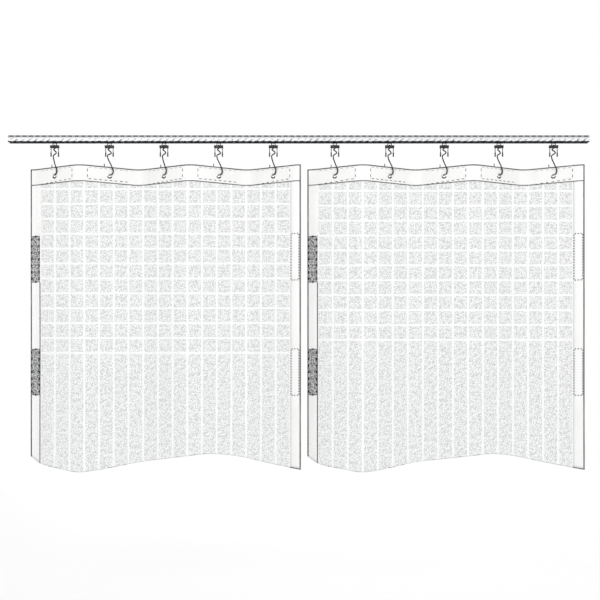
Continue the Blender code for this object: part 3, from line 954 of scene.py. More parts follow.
@dataclass(frozen=True)
class EyeletFinish(MetalFinish):
    """Plated steel with a shade painted on the lower lip of each eyelet.

    Args:
        middle: The height of the eyelets' centres.
        settled: How far below its centre an eyelet starts to be dark.
        soft: Half the height over which the painted shade fades out.
        painted_shade: The colour of the painted shade.
    """

    middle: float = 0.0
    settled: float = 0.0030
    soft: float = 0.0012
    painted_shade: tuple[float, float, float] = (0.02, 0.02, 0.02)

    def toned(self, wiring: Wiring, place: bpy.types.NodeSocket, colour: bpy.types.NodeSocket) -> bpy.types.NodeSocket:
        """The colour with a painted shade below the middle."""
        below = wiring.math("SUBTRACT", self.middle - self.settled, wiring.apart(place)[2])
        share = wiring.ranged(below, -self.soft, self.soft, 0.0, 1.0)
        # Painted shade: each eyelet's lower part is darkened as its shadow side.
        return wiring.mix(share, colour, (*self.painted_shade, 1.0))


@dataclass(frozen=True)
class PlasticFinish(Finish):
    """Moulded plastic with a fine spark-eroded surface and grime in broad patches."""

    marks: float = 0.35
    grime: tuple[float, float, float] = (0.35, 0.33, 0.30)

    def build(self, effects: SharedEffects) -> bpy.types.Material:
        """Make the material from the shared effects."""
        made, wiring, inputs = self.begin()
        place = wiring.object_place()
        grain = wiring.use(effects.grain, Vector=place, Scale=2200.0)
        dust = wiring.use(
            effects.dust,
            Vector=place,
            Colour=(*self.colour, 1.0),
            Grime=(*self.grime, 1.0),
            Scale=90.0,
            Amount=self.marks,
        )
        wiring.feed(inputs["Base Color"], dust["Colour"])
        wiring.feed(inputs["Roughness"], wiring.math("ADD", dust["Marks"], self.roughness))
        wiring.feed(inputs["Normal"], wiring.bump(grain["Height"], 0.00001))
        return made


@dataclass(frozen=True)
class RailFinish(Finish):
    """Galvanised rail: a rolled band of two crossing strands, a pale hatched face, and lips painted black as the shade
    of its underside.
    """

    strand_colour: tuple[float, float, float] = (0.02, 0.02, 0.022)
    band_colour: tuple[float, float, float] = (0.52, 0.53, 0.54)
    lip_shade_colour: tuple[float, float, float] = (0.006, 0.006, 0.007)
    worn_colour: tuple[float, float, float] = (0.08, 0.08, 0.082)
    hatch_colour: tuple[float, float, float] = (0.10, 0.105, 0.11)
    band_bottom: float = -0.0112
    strand_middle: float = -0.0042
    strand_swing: float = 0.0034
    strand_pitch: float = 0.0595
    strand_half: float = 0.0024
    lip_top: float = -0.0260
    hatch_pitch: float = 0.02975
    faint: float = 0.5

    def build(self, effects: SharedEffects) -> bpy.types.Material:
        """Make the material from the shared effects."""
        made, wiring, inputs = self.begin()
        inputs["IOR"].default_value = 1.25
        place = wiring.object_place()
        along, _, height = wiring.apart(place)
        hatch = self.hatch(wiring, place, along, height)
        spangle = self.spangle(wiring, place)
        face = wiring.mix(wiring.math("MULTIPLY", hatch, 0.9), (*self.colour, 1.0), (*self.hatch_colour, 1.0))
        face = wiring.mix(wiring.math("MULTIPLY", spangle, 0.16), face, (0.35, 0.36, 0.37, 1.0))
        knots = self.knots(wiring, along)
        strands = self.strands(wiring, effects, along, height)
        firm = wiring.math("MULTIPLY", strands, wiring.ranged(knots, 0.0, 1.0, self.faint, 1.0))
        band = wiring.mix(firm, (*self.band_colour, 1.0), (*self.strand_colour, 1.0))
        upper = wiring.ranged(height, self.band_bottom - 0.0006, self.band_bottom + 0.0006, 0.0, 1.0)
        face = wiring.mix(upper, face, band)
        worn = wiring.math("MULTIPLY", knots, wiring.ranged(wiring.noise(place, 45.0, 2.0), 0.30, 0.60, 0.0, 1.0))
        nicks = wiring.math("ADD", wiring.noise(place, 130.0, 1.0), wiring.math("MULTIPLY", worn, 0.6))
        nicks = wiring.math("MULTIPLY", nicks, 0.0024)
        # Painted shade: below the lip's top the rail is near-black for the shade on its underside, a little lighter in
        # worn patches at the knots.
        edge = wiring.math("SUBTRACT", wiring.math("ADD", height, nicks), self.lip_top + 0.0012)
        lower = wiring.ranged(edge, -0.0004, 0.0004, 1.0, 0.0)
        lip = wiring.mix(worn, (*self.lip_shade_colour, 1.0), (*self.worn_colour, 1.0))
        wiring.feed(inputs["Base Color"], wiring.mix(lower, face, lip))
        wiring.feed(inputs["Metallic"], wiring.math("MULTIPLY", wiring.math("SUBTRACT", 1.0, lower), 0.25))
        wiring.feed(inputs["Roughness"], wiring.ranged(lower, 0.0, 1.0, self.roughness, self.roughness + 0.3))
        rolled = wiring.math("MULTIPLY", strands, upper)
        relief = wiring.math("ADD", wiring.math("MULTIPLY", hatch, 0.4), rolled)
        wiring.feed(inputs["Normal"], wiring.bump(relief, 0.0006))
        return made

    def hatch(
        self,
        wiring: Wiring,
        place: bpy.types.NodeSocket,
        along: bpy.types.NodeSocket,
        height: bpy.types.NodeSocket,
    ) -> bpy.types.NodeSocket:
        """Slanting strokes, broken here and there."""
        slanted = wiring.math("SUBTRACT", along, height)
        steps = wiring.math("FRACT", wiring.math("DIVIDE", slanted, self.hatch_pitch))
        away = wiring.math("ABSOLUTE", wiring.math("SUBTRACT", steps, 0.5))
        line = wiring.ranged(away, 0.08, 0.28, 1.0, 0.0)
        low = wiring.ranged(height, self.lip_top, self.band_bottom, 1.0, 0.45)
        uneven = wiring.ranged(wiring.noise(place, 110.0, 2.0), 0.35, 0.60, 0.0, 1.0)
        return wiring.math("MULTIPLY", wiring.math("MULTIPLY", line, uneven), low)

    def knots(self, wiring: Wiring, along: bpy.types.NodeSocket) -> bpy.types.NodeSocket:
        """1 where the strands cross and 0 halfway between."""
        turn = wiring.math("MULTIPLY", along, 2 * math.tau / self.strand_pitch)
        return wiring.ranged(wiring.math("COSINE", turn), -1.0, 1.0, 0.0, 1.0)

    def strands(
        self,
        wiring: Wiring,
        effects: SharedEffects,
        along: bpy.types.NodeSocket,
        height: bpy.types.NodeSocket,
    ) -> bpy.types.NodeSocket:
        """Two wavy strands that cross each other again and again."""
        turn = wiring.math("MULTIPLY", along, math.tau / self.strand_pitch)
        swing = wiring.math("MULTIPLY", wiring.math("SINE", turn), self.strand_swing)
        away = wiring.math("SUBTRACT", height, self.strand_middle)
        lines = [
            wiring.use(effects.band, Value=wiring.math(operation, away, swing), Half_Width=self.strand_half)["Band"]
            for operation in ("ADD", "SUBTRACT")
        ]
        return wiring.math("MAXIMUM", *lines)

    @staticmethod
    def spangle(wiring: Wiring, place: bpy.types.NodeSocket) -> bpy.types.NodeSocket:
        """The crystals of hot-dip galvanising."""
        made = wiring.node("ShaderNodeTexVoronoi")
        wiring.feed(made.inputs["Vector"], place)
        made.inputs["Scale"].default_value = 160.0
        return wiring.apart(made.outputs["Color"])[0]


class Finishes:
    """Every material, made once."""

    def __init__(self, panels: Sequence[Panel]) -> None:
        """Make the materials; the film and the header have one for each panel."""
        effects = SharedEffects()
        film = FilmFinish("threaded_film", (0.78, 0.79, 0.80), 0.46)
        header = VinylFinish("header_vinyl", (0.86, 0.86, 0.85), 0.42, pocketed=True)
        self.film = {panel.side: film.build(effects, panel) for panel in panels}
        self.header = {panel.side: header.build(effects, panel) for panel in panels}
        self.hem = VinylFinish("hem_vinyl", (0.86, 0.86, 0.85), 0.42).build(effects)
        self.binding = VinylFinish("grey_binding", (0.07, 0.07, 0.073), 0.50, marks=0.3).build(effects)
        # Real welds, whose dark grey is also a painted shade under the header's step.
        self.seam = VinylFinish("welded_seam_and_shade", (0.13, 0.13, 0.135), 0.45, marks=0.2).build(effects)
        # The bead's grey is a painted shade for the dark look of the film's cut edge.
        bead = VinylFinish("cut_edge_and_shade", (0.60, 0.61, 0.62), 0.40, marks=1.0, mark_scale=38.0, grime=(0.08, 0.08, 0.08))
        self.bead = bead.build(effects)
        self.loop = PileFinish("loop_pile", (0.52, 0.52, 0.53), 0.92).build(effects)
        self.woven = ThreadFinish("woven_edge", (0.15, 0.15, 0.153), 0.85).build(effects)
        self.hook = PileFinish("hook_pile", (0.66, 0.66, 0.65), 0.80, dark=(0.30, 0.30, 0.29)).build(effects)
        self.dark_thread = ThreadFinish("dark_thread", (0.006, 0.006, 0.007), 0.75).build(effects)
        self.grey_thread = ThreadFinish("grey_thread", (0.03, 0.03, 0.032), 0.75).build(effects)
        self.rail = RailFinish("galvanised_rail", (0.74, 0.75, 0.76), 0.45).build(effects)
        self.runner = MetalFinish("blackened_runner", (0.035, 0.035, 0.037), 0.42, 1.0).build(effects)
        self.wire = MetalFinish("dark_wire", (0.03, 0.03, 0.032), 0.34, 1.0, streak=(1.0, 1.0, 0.1)).build(effects)
        eyelet_height = panels[0].top - HeaderPlate.eyelet_below_top
        eyelet = EyeletFinish("eyelet_steel", (0.70, 0.70, 0.705), 0.34, 1.0, middle=eyelet_height)
        self.eyelet = eyelet.build(effects)
        self.plate = MetalFinish("stiffener_plate", (0.60, 0.60, 0.60), 0.40, 1.0).build(effects)
        self.wheel = PlasticFinish("nylon_wheel", (0.78, 0.77, 0.73), 0.42).build(effects)


def turned(profile: Sequence[tuple[float, float]], steps: int) -> bmesh.types.BMesh:
    """Turn a profile round Z.

    Args:
        profile: (radius, height) points, which start and end on the axis.
        steps: The number of steps round.

    Returns:
        The turned solid.
    """
    bm = bmesh.new()
    points = [bm.verts.new((radius, 0, height)) for radius, height in profile]
    edges = [bm.edges.new(pair) for pair in zip(points, points[1:])]
    bmesh.ops.spin(
        bm,
        geom=points + edges,
        cent=(0, 0, 0),
        axis=(0, 0, 1),
        angle=math.tau,
        steps=steps,
        use_merge=True,
    )
    return bm


def block(bm: bmesh.types.BMesh, size: Sequence[float], centre: Sequence[float], rounding: float) -> None:
    """Add a box with rounded edges to a bmesh."""
    corners = bmesh.ops.create_cube(bm, size=1.0)["verts"]
    bmesh.ops.scale(bm, verts=corners, vec=size)
    bmesh.ops.translate(bm, verts=corners, vec=centre)
    edges = list({edge for vert in corners for edge in vert.link_edges})
    bmesh.ops.bevel(
        bm, geom=edges, offset=rounding, segments=3, profile=0.5, affect="EDGES", material=-1
    )


def rod_mesh(name: str, radius: float, low: float, high: float, along: str, steps: int = 32) -> bpy.types.Mesh:
    """A round rod along Y or Z, as a cutter."""
    bm = turned([(0, low), (radius, low), (radius, high), (0, high)], steps)
    if along == "Y":
        bmesh.ops.rotate(bm, verts=bm.verts, cent=(0, 0, 0), matrix=Matrix.Rotation(math.pi / 2, 3, "X"))
    return mesh_of(bm, name)


@dataclass
class Sheets:
    """The clear film, its header, its hems and their bindings.

    Args:
        panel: The panel that they make up.
        finishes: The materials.
        cell: The size of a mesh cell along the run.
        row: The height of a mesh cell.
        binding: The width of the grey binding.
        binding_skin: The binding's thickness.
        seam: The width of the header's welded seam.
    """

    panel: Panel
    finishes: Finishes
    cell: float = 0.0085
    row: float = 0.018
    binding: float = 0.0050
    binding_skin: float = 0.0005
    seam: float = 0.0040
    made: list[bpy.types.Object] = field(default_factory=list)

    def columns(self, fold: Fold) -> int:
        """The number of mesh cells along a stretch."""
        return round((fold.end - fold.start) / self.cell)

    def over_fold(self, name: str, fold: Fold, profile: Sequence[tuple[float, float]], skin: float) -> bpy.types.Object:
        """A band along a stretch of sheet, with one section all the way.

        Args:
            name: The first part of the piece's name.
            fold: The fold that the stretch lies over.
            profile: The band's section, as (behind, height) points.
            skin: Its thickness.

        Returns:
            The piece, without its finish.
        """

        def place(across: float, up: float) -> Place:
            return (between(fold.start, fold.end, across), *along_profile(profile, up))

        title = f"{name}_{self.panel.tag(fold.number)}"
        piece = object_of(title, self.panel.skin(title, self.columns(fold), len(profile) - 1, place))
        thicken(piece, skin)
        return piece

    def film(self, fold: Fold) -> bpy.types.Object:
        """The clear film over one fold."""
        panel, sizes = self.panel, self.panel.sizes
        inside = sizes.hem_width - 0.006
        start = max(fold.start, inside)
        end = min(fold.end, panel.plan.length - inside)
        top = panel.header_bottom + sizes.weld

        def place(across: float, up: float) -> Place:
            run = between(start, end, across)
            return run, 0.0, between(panel.lowest(run), top, up)

        rows = round((top - panel.foot) / self.row)
        title = f"film_{panel.tag(fold.number)}"
        mesh = panel.skin(title, self.columns(fold), rows, place)
        panel.map_threads(mesh)
        return object_of(title, mesh, self.finishes.film[panel.side])

    def header(self, fold: Fold) -> bpy.types.Object:
        """The doubled header over one fold, with a hole for each eyelet."""
        panel, sizes = self.panel, self.panel.sizes
        half = sizes.header_half - sizes.header_skin / 2
        turn_up = [(x, panel.top - sizes.header_half + z) for x, z in half_round(half, 6)]
        rows = 9
        heights = [between(panel.header_bottom, turn_up[0][1], step / rows) for step in range(rows)]
        front = [(-half, height) for height in heights]
        profile = [*front, *turn_up, *[(-behind, height) for behind, height in front[::-1]]]
        piece = self.over_fold("header", fold, profile, sizes.header_skin)
        for number in panel.numbers:
            run = panel.hook_run(number)
            if fold.start < run < fold.end:
                self.cut_eyelet_hole(piece, number)
        name = piece.name
        mesh = settled(piece)
        mesh.name = name
        return object_of(name, mesh, self.finishes.header[panel.side])

    def cut_eyelet_hole(self, piece: bpy.types.Object, number: int) -> None:
        """Cut the hole that an eyelet is riveted in."""
        eyelet = HeaderPlate()
        cutter = rod_mesh("eyelet_hole", eyelet.bore + eyelet.barrel_wall + 0.0003, -0.01, 0.01, "Y")
        centre = self.panel.world(self.panel.hook_run(number), 0, self.panel.top - eyelet.eyelet_below_top)
        turn = Matrix.Rotation(self.panel.turn(self.panel.hook_run(number)), 4, "Z")
        cutter.transform(Matrix.Translation(centre) @ turn)
        combine(piece, cutter, "DIFFERENCE")

    def top_binding(self, fold: Fold) -> bpy.types.Object:
        """The grey binding over the header's top edge."""
        half = self.panel.sizes.header_half + self.binding_skin / 2 + 0.0001
        crown = self.panel.top - self.panel.sizes.header_half
        over = [(x, crown + z) for x, z in half_round(half, 8)]
        low = self.panel.top - self.binding
        profile = [(-half, low), *over, (half, low)]
        piece = self.over_fold("top_binding", fold, profile, self.binding_skin)
        piece.data.materials.append(self.finishes.binding)
        return piece

    def header_seam_and_shade(self, fold: Fold, face: Face) -> bpy.types.Object:
        """The welded seam along the header's lower edge, a low rounded rib, dark grey as a painted shade under the
        header's step.
        """
        out = self.panel.sizes.header_half
        low = self.panel.header_bottom - 0.0004
        shares = ((0.0, 0.0), (0.15, 0.6), (0.5, 1.0), (0.85, 0.6), (1.0, 0.0))
        profile = [
            (face.value * (out + 0.0002 + 0.0005 * rise), low + self.seam * up) for up, rise in shares
        ]
        piece = self.over_fold(f"header_seam_{face.name.lower()}", fold, profile, 0.0003)
        piece.data.materials.append(self.finishes.seam)
        return piece

    def foot_bead(self, fold: Fold) -> bpy.types.Object:
        """The rounded bead that the heat of the cut leaves along the film's lower edge, grey as a painted shade for the
        dark look of a clear film's cut edge.
        """
        panel = self.panel
        inside = panel.sizes.hem_width + 0.001
        start = max(fold.start, inside)
        end = min(fold.end, panel.plan.length - inside)
        ring = [(math.sin(angle), math.cos(angle)) for angle in (math.tau * step / 8 for step in range(9))]

        def place(across: float, up: float) -> Place:
            run = between(start, end, across)
            behind, rise = along_profile(ring, up)
            return run, 0.0009 * behind, panel.lowest(run) + 0.0012 + 0.0014 * rise

        title = f"foot_bead_{panel.tag(fold.number)}"
        return object_of(title, panel.skin(title, self.columns(fold), 8, place), self.finishes.bead)

    def hem(self, at_start: bool) -> bpy.types.Object:
        """A side hem: the white sheet folded round the film's edge."""
        panel, sizes = self.panel, self.panel.sizes
        skin = sizes.hem_half - sizes.film / 2
        half = sizes.hem_half - skin / 2
        turn = [(half - rise, x) for x, rise in half_round(half, 6)]
        inner = sizes.hem_width
        profile = [(inner, -half), (inner * 0.75, -half), (inner * 0.5, -half), (inner * 0.25, -half)]
        profile = [*profile, *turn, *[(run, -behind) for run, behind in profile[::-1]]]
        top = panel.header_bottom + sizes.weld
        return self.upright("hem", at_start, profile, skin, self.finishes.hem, top)

    def edge_binding(self, at_start: bool) -> bpy.types.Object:
        """The grey binding round a panel's upright edge, wider where it passes the header."""
        panel, sizes = self.panel, self.panel.sizes
        half = sizes.hem_half + self.binding_skin / 2 + 0.0001
        turn = [(half - sizes.hem_half - rise, x) for x, rise in half_round(half, 8)]
        profile = [(self.binding, -half), *turn, (self.binding, half)]
        extra = sizes.header_half - sizes.hem_half

        def widened(height: float) -> float:
            return 1 + extra / half * ease(height, panel.header_bottom - 0.004, panel.header_bottom - 0.001)

        return self.upright(
            "edge_binding", at_start, profile, self.binding_skin, self.finishes.binding, panel.top - 0.0005, widened
        )

    def upright(
        self,
        name: str,
        at_start: bool,
        profile: Sequence[tuple[float, float]],
        skin: float,
        finish: bpy.types.Material,
        top: float,
        widened: Callable[[float], float] = lambda height: 1.0,
        bottom: float | None = None,
    ) -> bpy.types.Object:
        """An upright band along one of the panel's edges.

        Args:
            name: The first part of the piece's name.
            at_start: Whether it lies along the left edge.
            profile: Its section, as (distance from the edge, behind) points.
            skin: Its thickness.
            finish: Its material.
            top: The height of its top.
            widened: How many times further from the sheet's middle it lies at a height.
            bottom: The height of its foot; without it, the band reaches the wavy lower edge.

        Returns:
            The piece, riding on the strip at that edge.
        """
        panel = self.panel

        def place(up: float, across: float) -> Place:
            inwards, behind = along_profile(profile, across)
            run = inwards if at_start else panel.plan.length - inwards
            low = panel.lowest(max(0.0, min(run, panel.plan.length))) if bottom is None else bottom
            height = between(low, top, up)
            return run, behind * widened(height), height

        end = "start" if at_start else "end"
        title = f"{name}_{panel.side.value}_{end}"
        rows = round((top - panel.foot) / self.row)
        piece = object_of(title, panel.skin(title, rows, len(profile) - 1, place), finish)
        thicken(piece, skin)
        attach(piece, panel.body(1 if at_start else panel.plan.strips))
        self.made.append(piece)
        return piece

    def hem_foot(self) -> bpy.types.Object:
        """The binding round the foot of the right hem, which closes it."""
        panel, sizes = self.panel, self.panel.sizes
        half = sizes.hem_half + self.binding_skin / 2 + 0.0002
        under = [(x, -rise) for x, rise in half_round(half, 6)]
        profile = [(-half, self.binding * 0.7), *under, (half, self.binding * 0.7)]
        start = panel.plan.length - sizes.hem_width

        def place(across: float, up: float) -> Place:
            run = between(start, panel.plan.length, across)
            behind, rise = along_profile(profile, up)
            return run, behind, panel.lowest(run) + 0.0006 + rise

        title = f"hem_foot_{panel.side.value}"
        mesh = panel.skin(title, 10, len(profile) - 1, place)
        piece = object_of(title, mesh, self.finishes.binding)
        thicken(piece, self.binding_skin)
        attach(piece, panel.body(panel.plan.strips))
        self.made.append(piece)
        return piece

    def hem_edge(self) -> bpy.types.Object:
        """The raw edge of the left hem, welded down on the front below the upper tape."""
        panel, sizes = self.panel, self.panel.sizes
        near = -(sizes.hem_half + 0.0001)
        profile = [
            (sizes.hem_width - 0.0034, near),
            (sizes.hem_width - 0.0024, near - 0.0005),
            (sizes.hem_width + 0.0010, near - 0.0005),
            (sizes.hem_width + 0.0018, near + 0.0004),
        ]
        tape = Tapes(panel, self.finishes)
        top = panel.top - tape.upper_below_top - tape.length - 0.001
        return self.upright("hem_edge", True, profile, 0.0003, self.finishes.seam, top)

    def build(self) -> list[bpy.types.Object]:
        """Build every piece of the sheet.

        Returns:
            The pieces.
        """
        panel = self.panel
        for fold in panel.folds():
            film = self.film(fold)
            going = [
                self.header(fold),
                self.top_binding(fold),
                self.header_seam_and_shade(fold, Face.FRONT),
                self.header_seam_and_shade(fold, Face.BACK),
                self.foot_bead(fold),
            ]
            for piece in (film, *going):
                fold.bend(piece)
            nodes = [f"sheet_{panel.tag(number)}" for number in (fold.number, fold.number + 1)]
            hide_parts(*nodes)
            hooks = [f"hook_{panel.tag(number)}" for number in (fold.number, fold.number + 1)]
            self.made += [film, *going]
        self.hem(True)
        self.hem(False)
        self.edge_binding(True)
        self.edge_binding(False)
        self.hem_edge()
        self.hem_foot()
        return self.made


@dataclass
class Stitching:
    """Rows of stitches on a sheet.

    Args:
        panel: The panel that they are sewn on.
        length: A stitch's length.
        pitch: The distance from one stitch to the next.
        width: The thread's width.
        flatness: Its thickness, as a share of its width.
    """

    panel: Panel
    length: float
    pitch: float
    width: float
    flatness: float = 0.7

    def stitch(self, bm: bmesh.types.BMesh, run: float, out: float, height: float, upright: bool) -> None:
        """Add one stitch, a long bead that lies on the sheet."""
        made = bmesh.ops.create_uvsphere(bm, u_segments=8, v_segments=6, radius=0.5)["verts"]
        bmesh.ops.scale(bm, verts=made, vec=(self.width, self.width * self.flatness, self.length))
        if not upright:
            lay = Matrix.Rotation(math.pi / 2, 3, "Y")
            bmesh.ops.rotate(bm, verts=made, cent=(0, 0, 0), matrix=lay)
        turn = Matrix.Rotation(self.panel.turn(run), 3, "Z")
        bmesh.ops.rotate(bm, verts=made, cent=(0, 0, 0), matrix=turn)
        bmesh.ops.translate(bm, verts=made, vec=self.panel.world(run, out, height))

    def row(
        self,
        bm: bmesh.types.BMesh,
        start: tuple[float, float],
        end: tuple[float, float],
        out: float,
    ) -> None:
        """Add an even row of stitches between two (run, height) points.

        Args:
            bm: The bmesh that takes them.
            start: The row's first point.
            end: The row's last point.
            out: How far behind the sheet's middle the thread lies.
        """
        first, last = Vector(start), Vector(end)
        count = max(1, round((last - first).length / self.pitch))
        upright = abs(last.y - first.y) > abs(last.x - first.x)
        for step in range(count):
            run, height = first.lerp(last, (step + 0.5) / count)
            self.stitch(bm, run, out, height, upright)

    def frame(
        self,
        bm: bmesh.types.BMesh,
        low: tuple[float, float],
        high: tuple[float, float],
        out: float,
    ) -> None:
        """Add stitches round a rectangle from its low to its high (run, height) corner."""
        corners = [low, (high[0], low[1]), high, (low[0], high[1])]
        for start, end in zip(corners, [*corners[1:], corners[0]]):
            self.row(bm, start, end, out)


@dataclass
class Tapes:
    """The hook-and-loop tapes: loops on the front of the left hem, hooks on the back of the right.

    Args:
        panel: The panel that they are sewn on.
        finishes: The materials.
        width: A tape's width.
        length: Its length.
        thickness: Its thickness with the pile.
        selvedge: The width of the flat edge beside the pile.
        woven: How much of that edge is bare dark weave.
        upper_below_top: How far the upper tape's top lies below the header's top.
        lower_below_top: The same for the lower tape.
    """

    panel: Panel
    finishes: Finishes
    width: float = 0.048
    length: float = 0.215
    thickness: float = 0.0020
    selvedge: float = 0.0050
    woven: float = 0.0040
    upper_below_top: float = 0.309
    lower_below_top: float = 0.831

    def tape(self, level: str, top: float, face: Face) -> bpy.types.Object:
        """One tape, whose pile stands between two flat edges.

        Args:
            level: Its place in its name.
            top: The height of its top.
            face: The face of the hem that it is sewn to.

        Returns:
            The piece.
        """
        panel, sizes = self.panel, self.panel.sizes
        margin = (sizes.hem_width - self.width) / 2
        start = margin if face is Face.FRONT else panel.plan.length - margin - self.width
        near = sizes.hem_half + 0.0003
        kind = "loop" if face is Face.FRONT else "hook"

        def place(across: float, up: float) -> Place:
            inside = min(across, 1 - across) * self.width
            level_in = min(up, 1 - up) * self.length
            pile = ease(min(inside, level_in + 0.002), self.selvedge * 0.9, self.selvedge * 1.2)
            edge = ease(min(inside, level_in), 0.0, 0.0008)
            run = start + across * self.width
            height = top - self.length * (1 - up)
            tangle = noise.noise(Vector((run / 0.0021, height / 0.0021, 2.0)))
            rise = 0.0007 * edge + pile * (self.thickness - 0.0010 + 0.0003 * tangle)
            return run, face.value * (near + rise), height

        title = f"{kind}_pile_{panel.side.value}_{level}"
        mesh = panel.skin(title, 40, 160, place)
        bm = bmesh.new()
        bm.from_mesh(mesh)
        bpy.data.meshes.remove(mesh)
        rim = [edge for edge in bm.edges if edge.is_boundary]
        walls = bmesh.ops.extrude_edge_only(bm, edges=rim)["geom"]
        for vert in (item for item in walls if isinstance(item, bmesh.types.BMVert)):
            inward = panel.turn(start + self.width / 2)
            step = Vector((-math.sin(inward), math.cos(inward), 0)) * -face.value * 0.0002
            vert.co += step
        layer = bm.loops.layers.uv[SHEET_MAP]
        for item in bm.faces:
            run = sum(loop[layer].uv.x for loop in item.loops) / len(item.loops) - start
            height = top - sum(loop[layer].uv.y for loop in item.loops) / len(item.loops)
            inside = min(run, self.width - run, height, self.length - height)
            item.material_index = int(face is Face.FRONT and inside < self.woven)
        finish = self.finishes.loop if face is Face.FRONT else self.finishes.hook
        piece = object_of(title, mesh_of(bm, title, outwards=False), finish)
        piece.data.materials.append(self.finishes.woven)
        node = f"{kind}_tape_{panel.side.value}_{level}"
        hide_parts(node)
        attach(piece, panel.body(1 if face is Face.FRONT else panel.plan.strips))
        return piece

    def stitches(self, level: str, top: float, face: Face) -> bpy.types.Object:
        """The seam round a tape: long dark stitches on the tape, small ones on the hem's other face."""
        panel, sizes = self.panel, self.panel.sizes
        margin = (sizes.hem_width - self.width) / 2 + (0.0036 if face is Face.FRONT else 0.0030)
        start = margin if face is Face.FRONT else panel.plan.length - sizes.hem_width + margin
        end = start + self.width - (0.0070 if face is Face.FRONT else 0.0100)
        low = top - self.length + 0.0024
        high = top - 0.0024
        bm = bmesh.new()
        if face is Face.FRONT:
            on_tape = Stitching(panel, length=0.0130, pitch=0.0290, width=0.0092, flatness=0.30)
            behind = Stitching(panel, length=0.0060, pitch=0.0120, width=0.0014)
        else:
            on_tape = Stitching(panel, length=0.0060, pitch=0.0120, width=0.0016)
            behind = Stitching(panel, length=0.0060, pitch=0.0125, width=0.0056, flatness=0.45)
        on_tape.frame(bm, (start, low), (end, high), face.value * (sizes.hem_half + 0.0016))
        behind.frame(bm, (start, low), (end, high), -face.value * (sizes.hem_half + 0.0003))
        kind = "loop" if face is Face.FRONT else "hook"
        title = f"{kind}_tape_stitches_{panel.side.value}_{level}"
        finish = self.finishes.dark_thread if face is Face.FRONT else self.finishes.grey_thread
        piece = object_of(title, mesh_of(bm, title), finish)
        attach(piece, panel.body(1 if face is Face.FRONT else panel.plan.strips))
        return piece

    def build(self) -> list[bpy.types.Object]:
        """Build the panel's four tapes with their stitches."""
        made = []
        levels = (("upper", self.upper_below_top), ("lower", self.lower_below_top))
        for face in Face:
            for level, below in levels:
                top = self.panel.top - below
                made.append(self.tape(level, top, face))
                made.append(self.stitches(level, top, face))
        return made


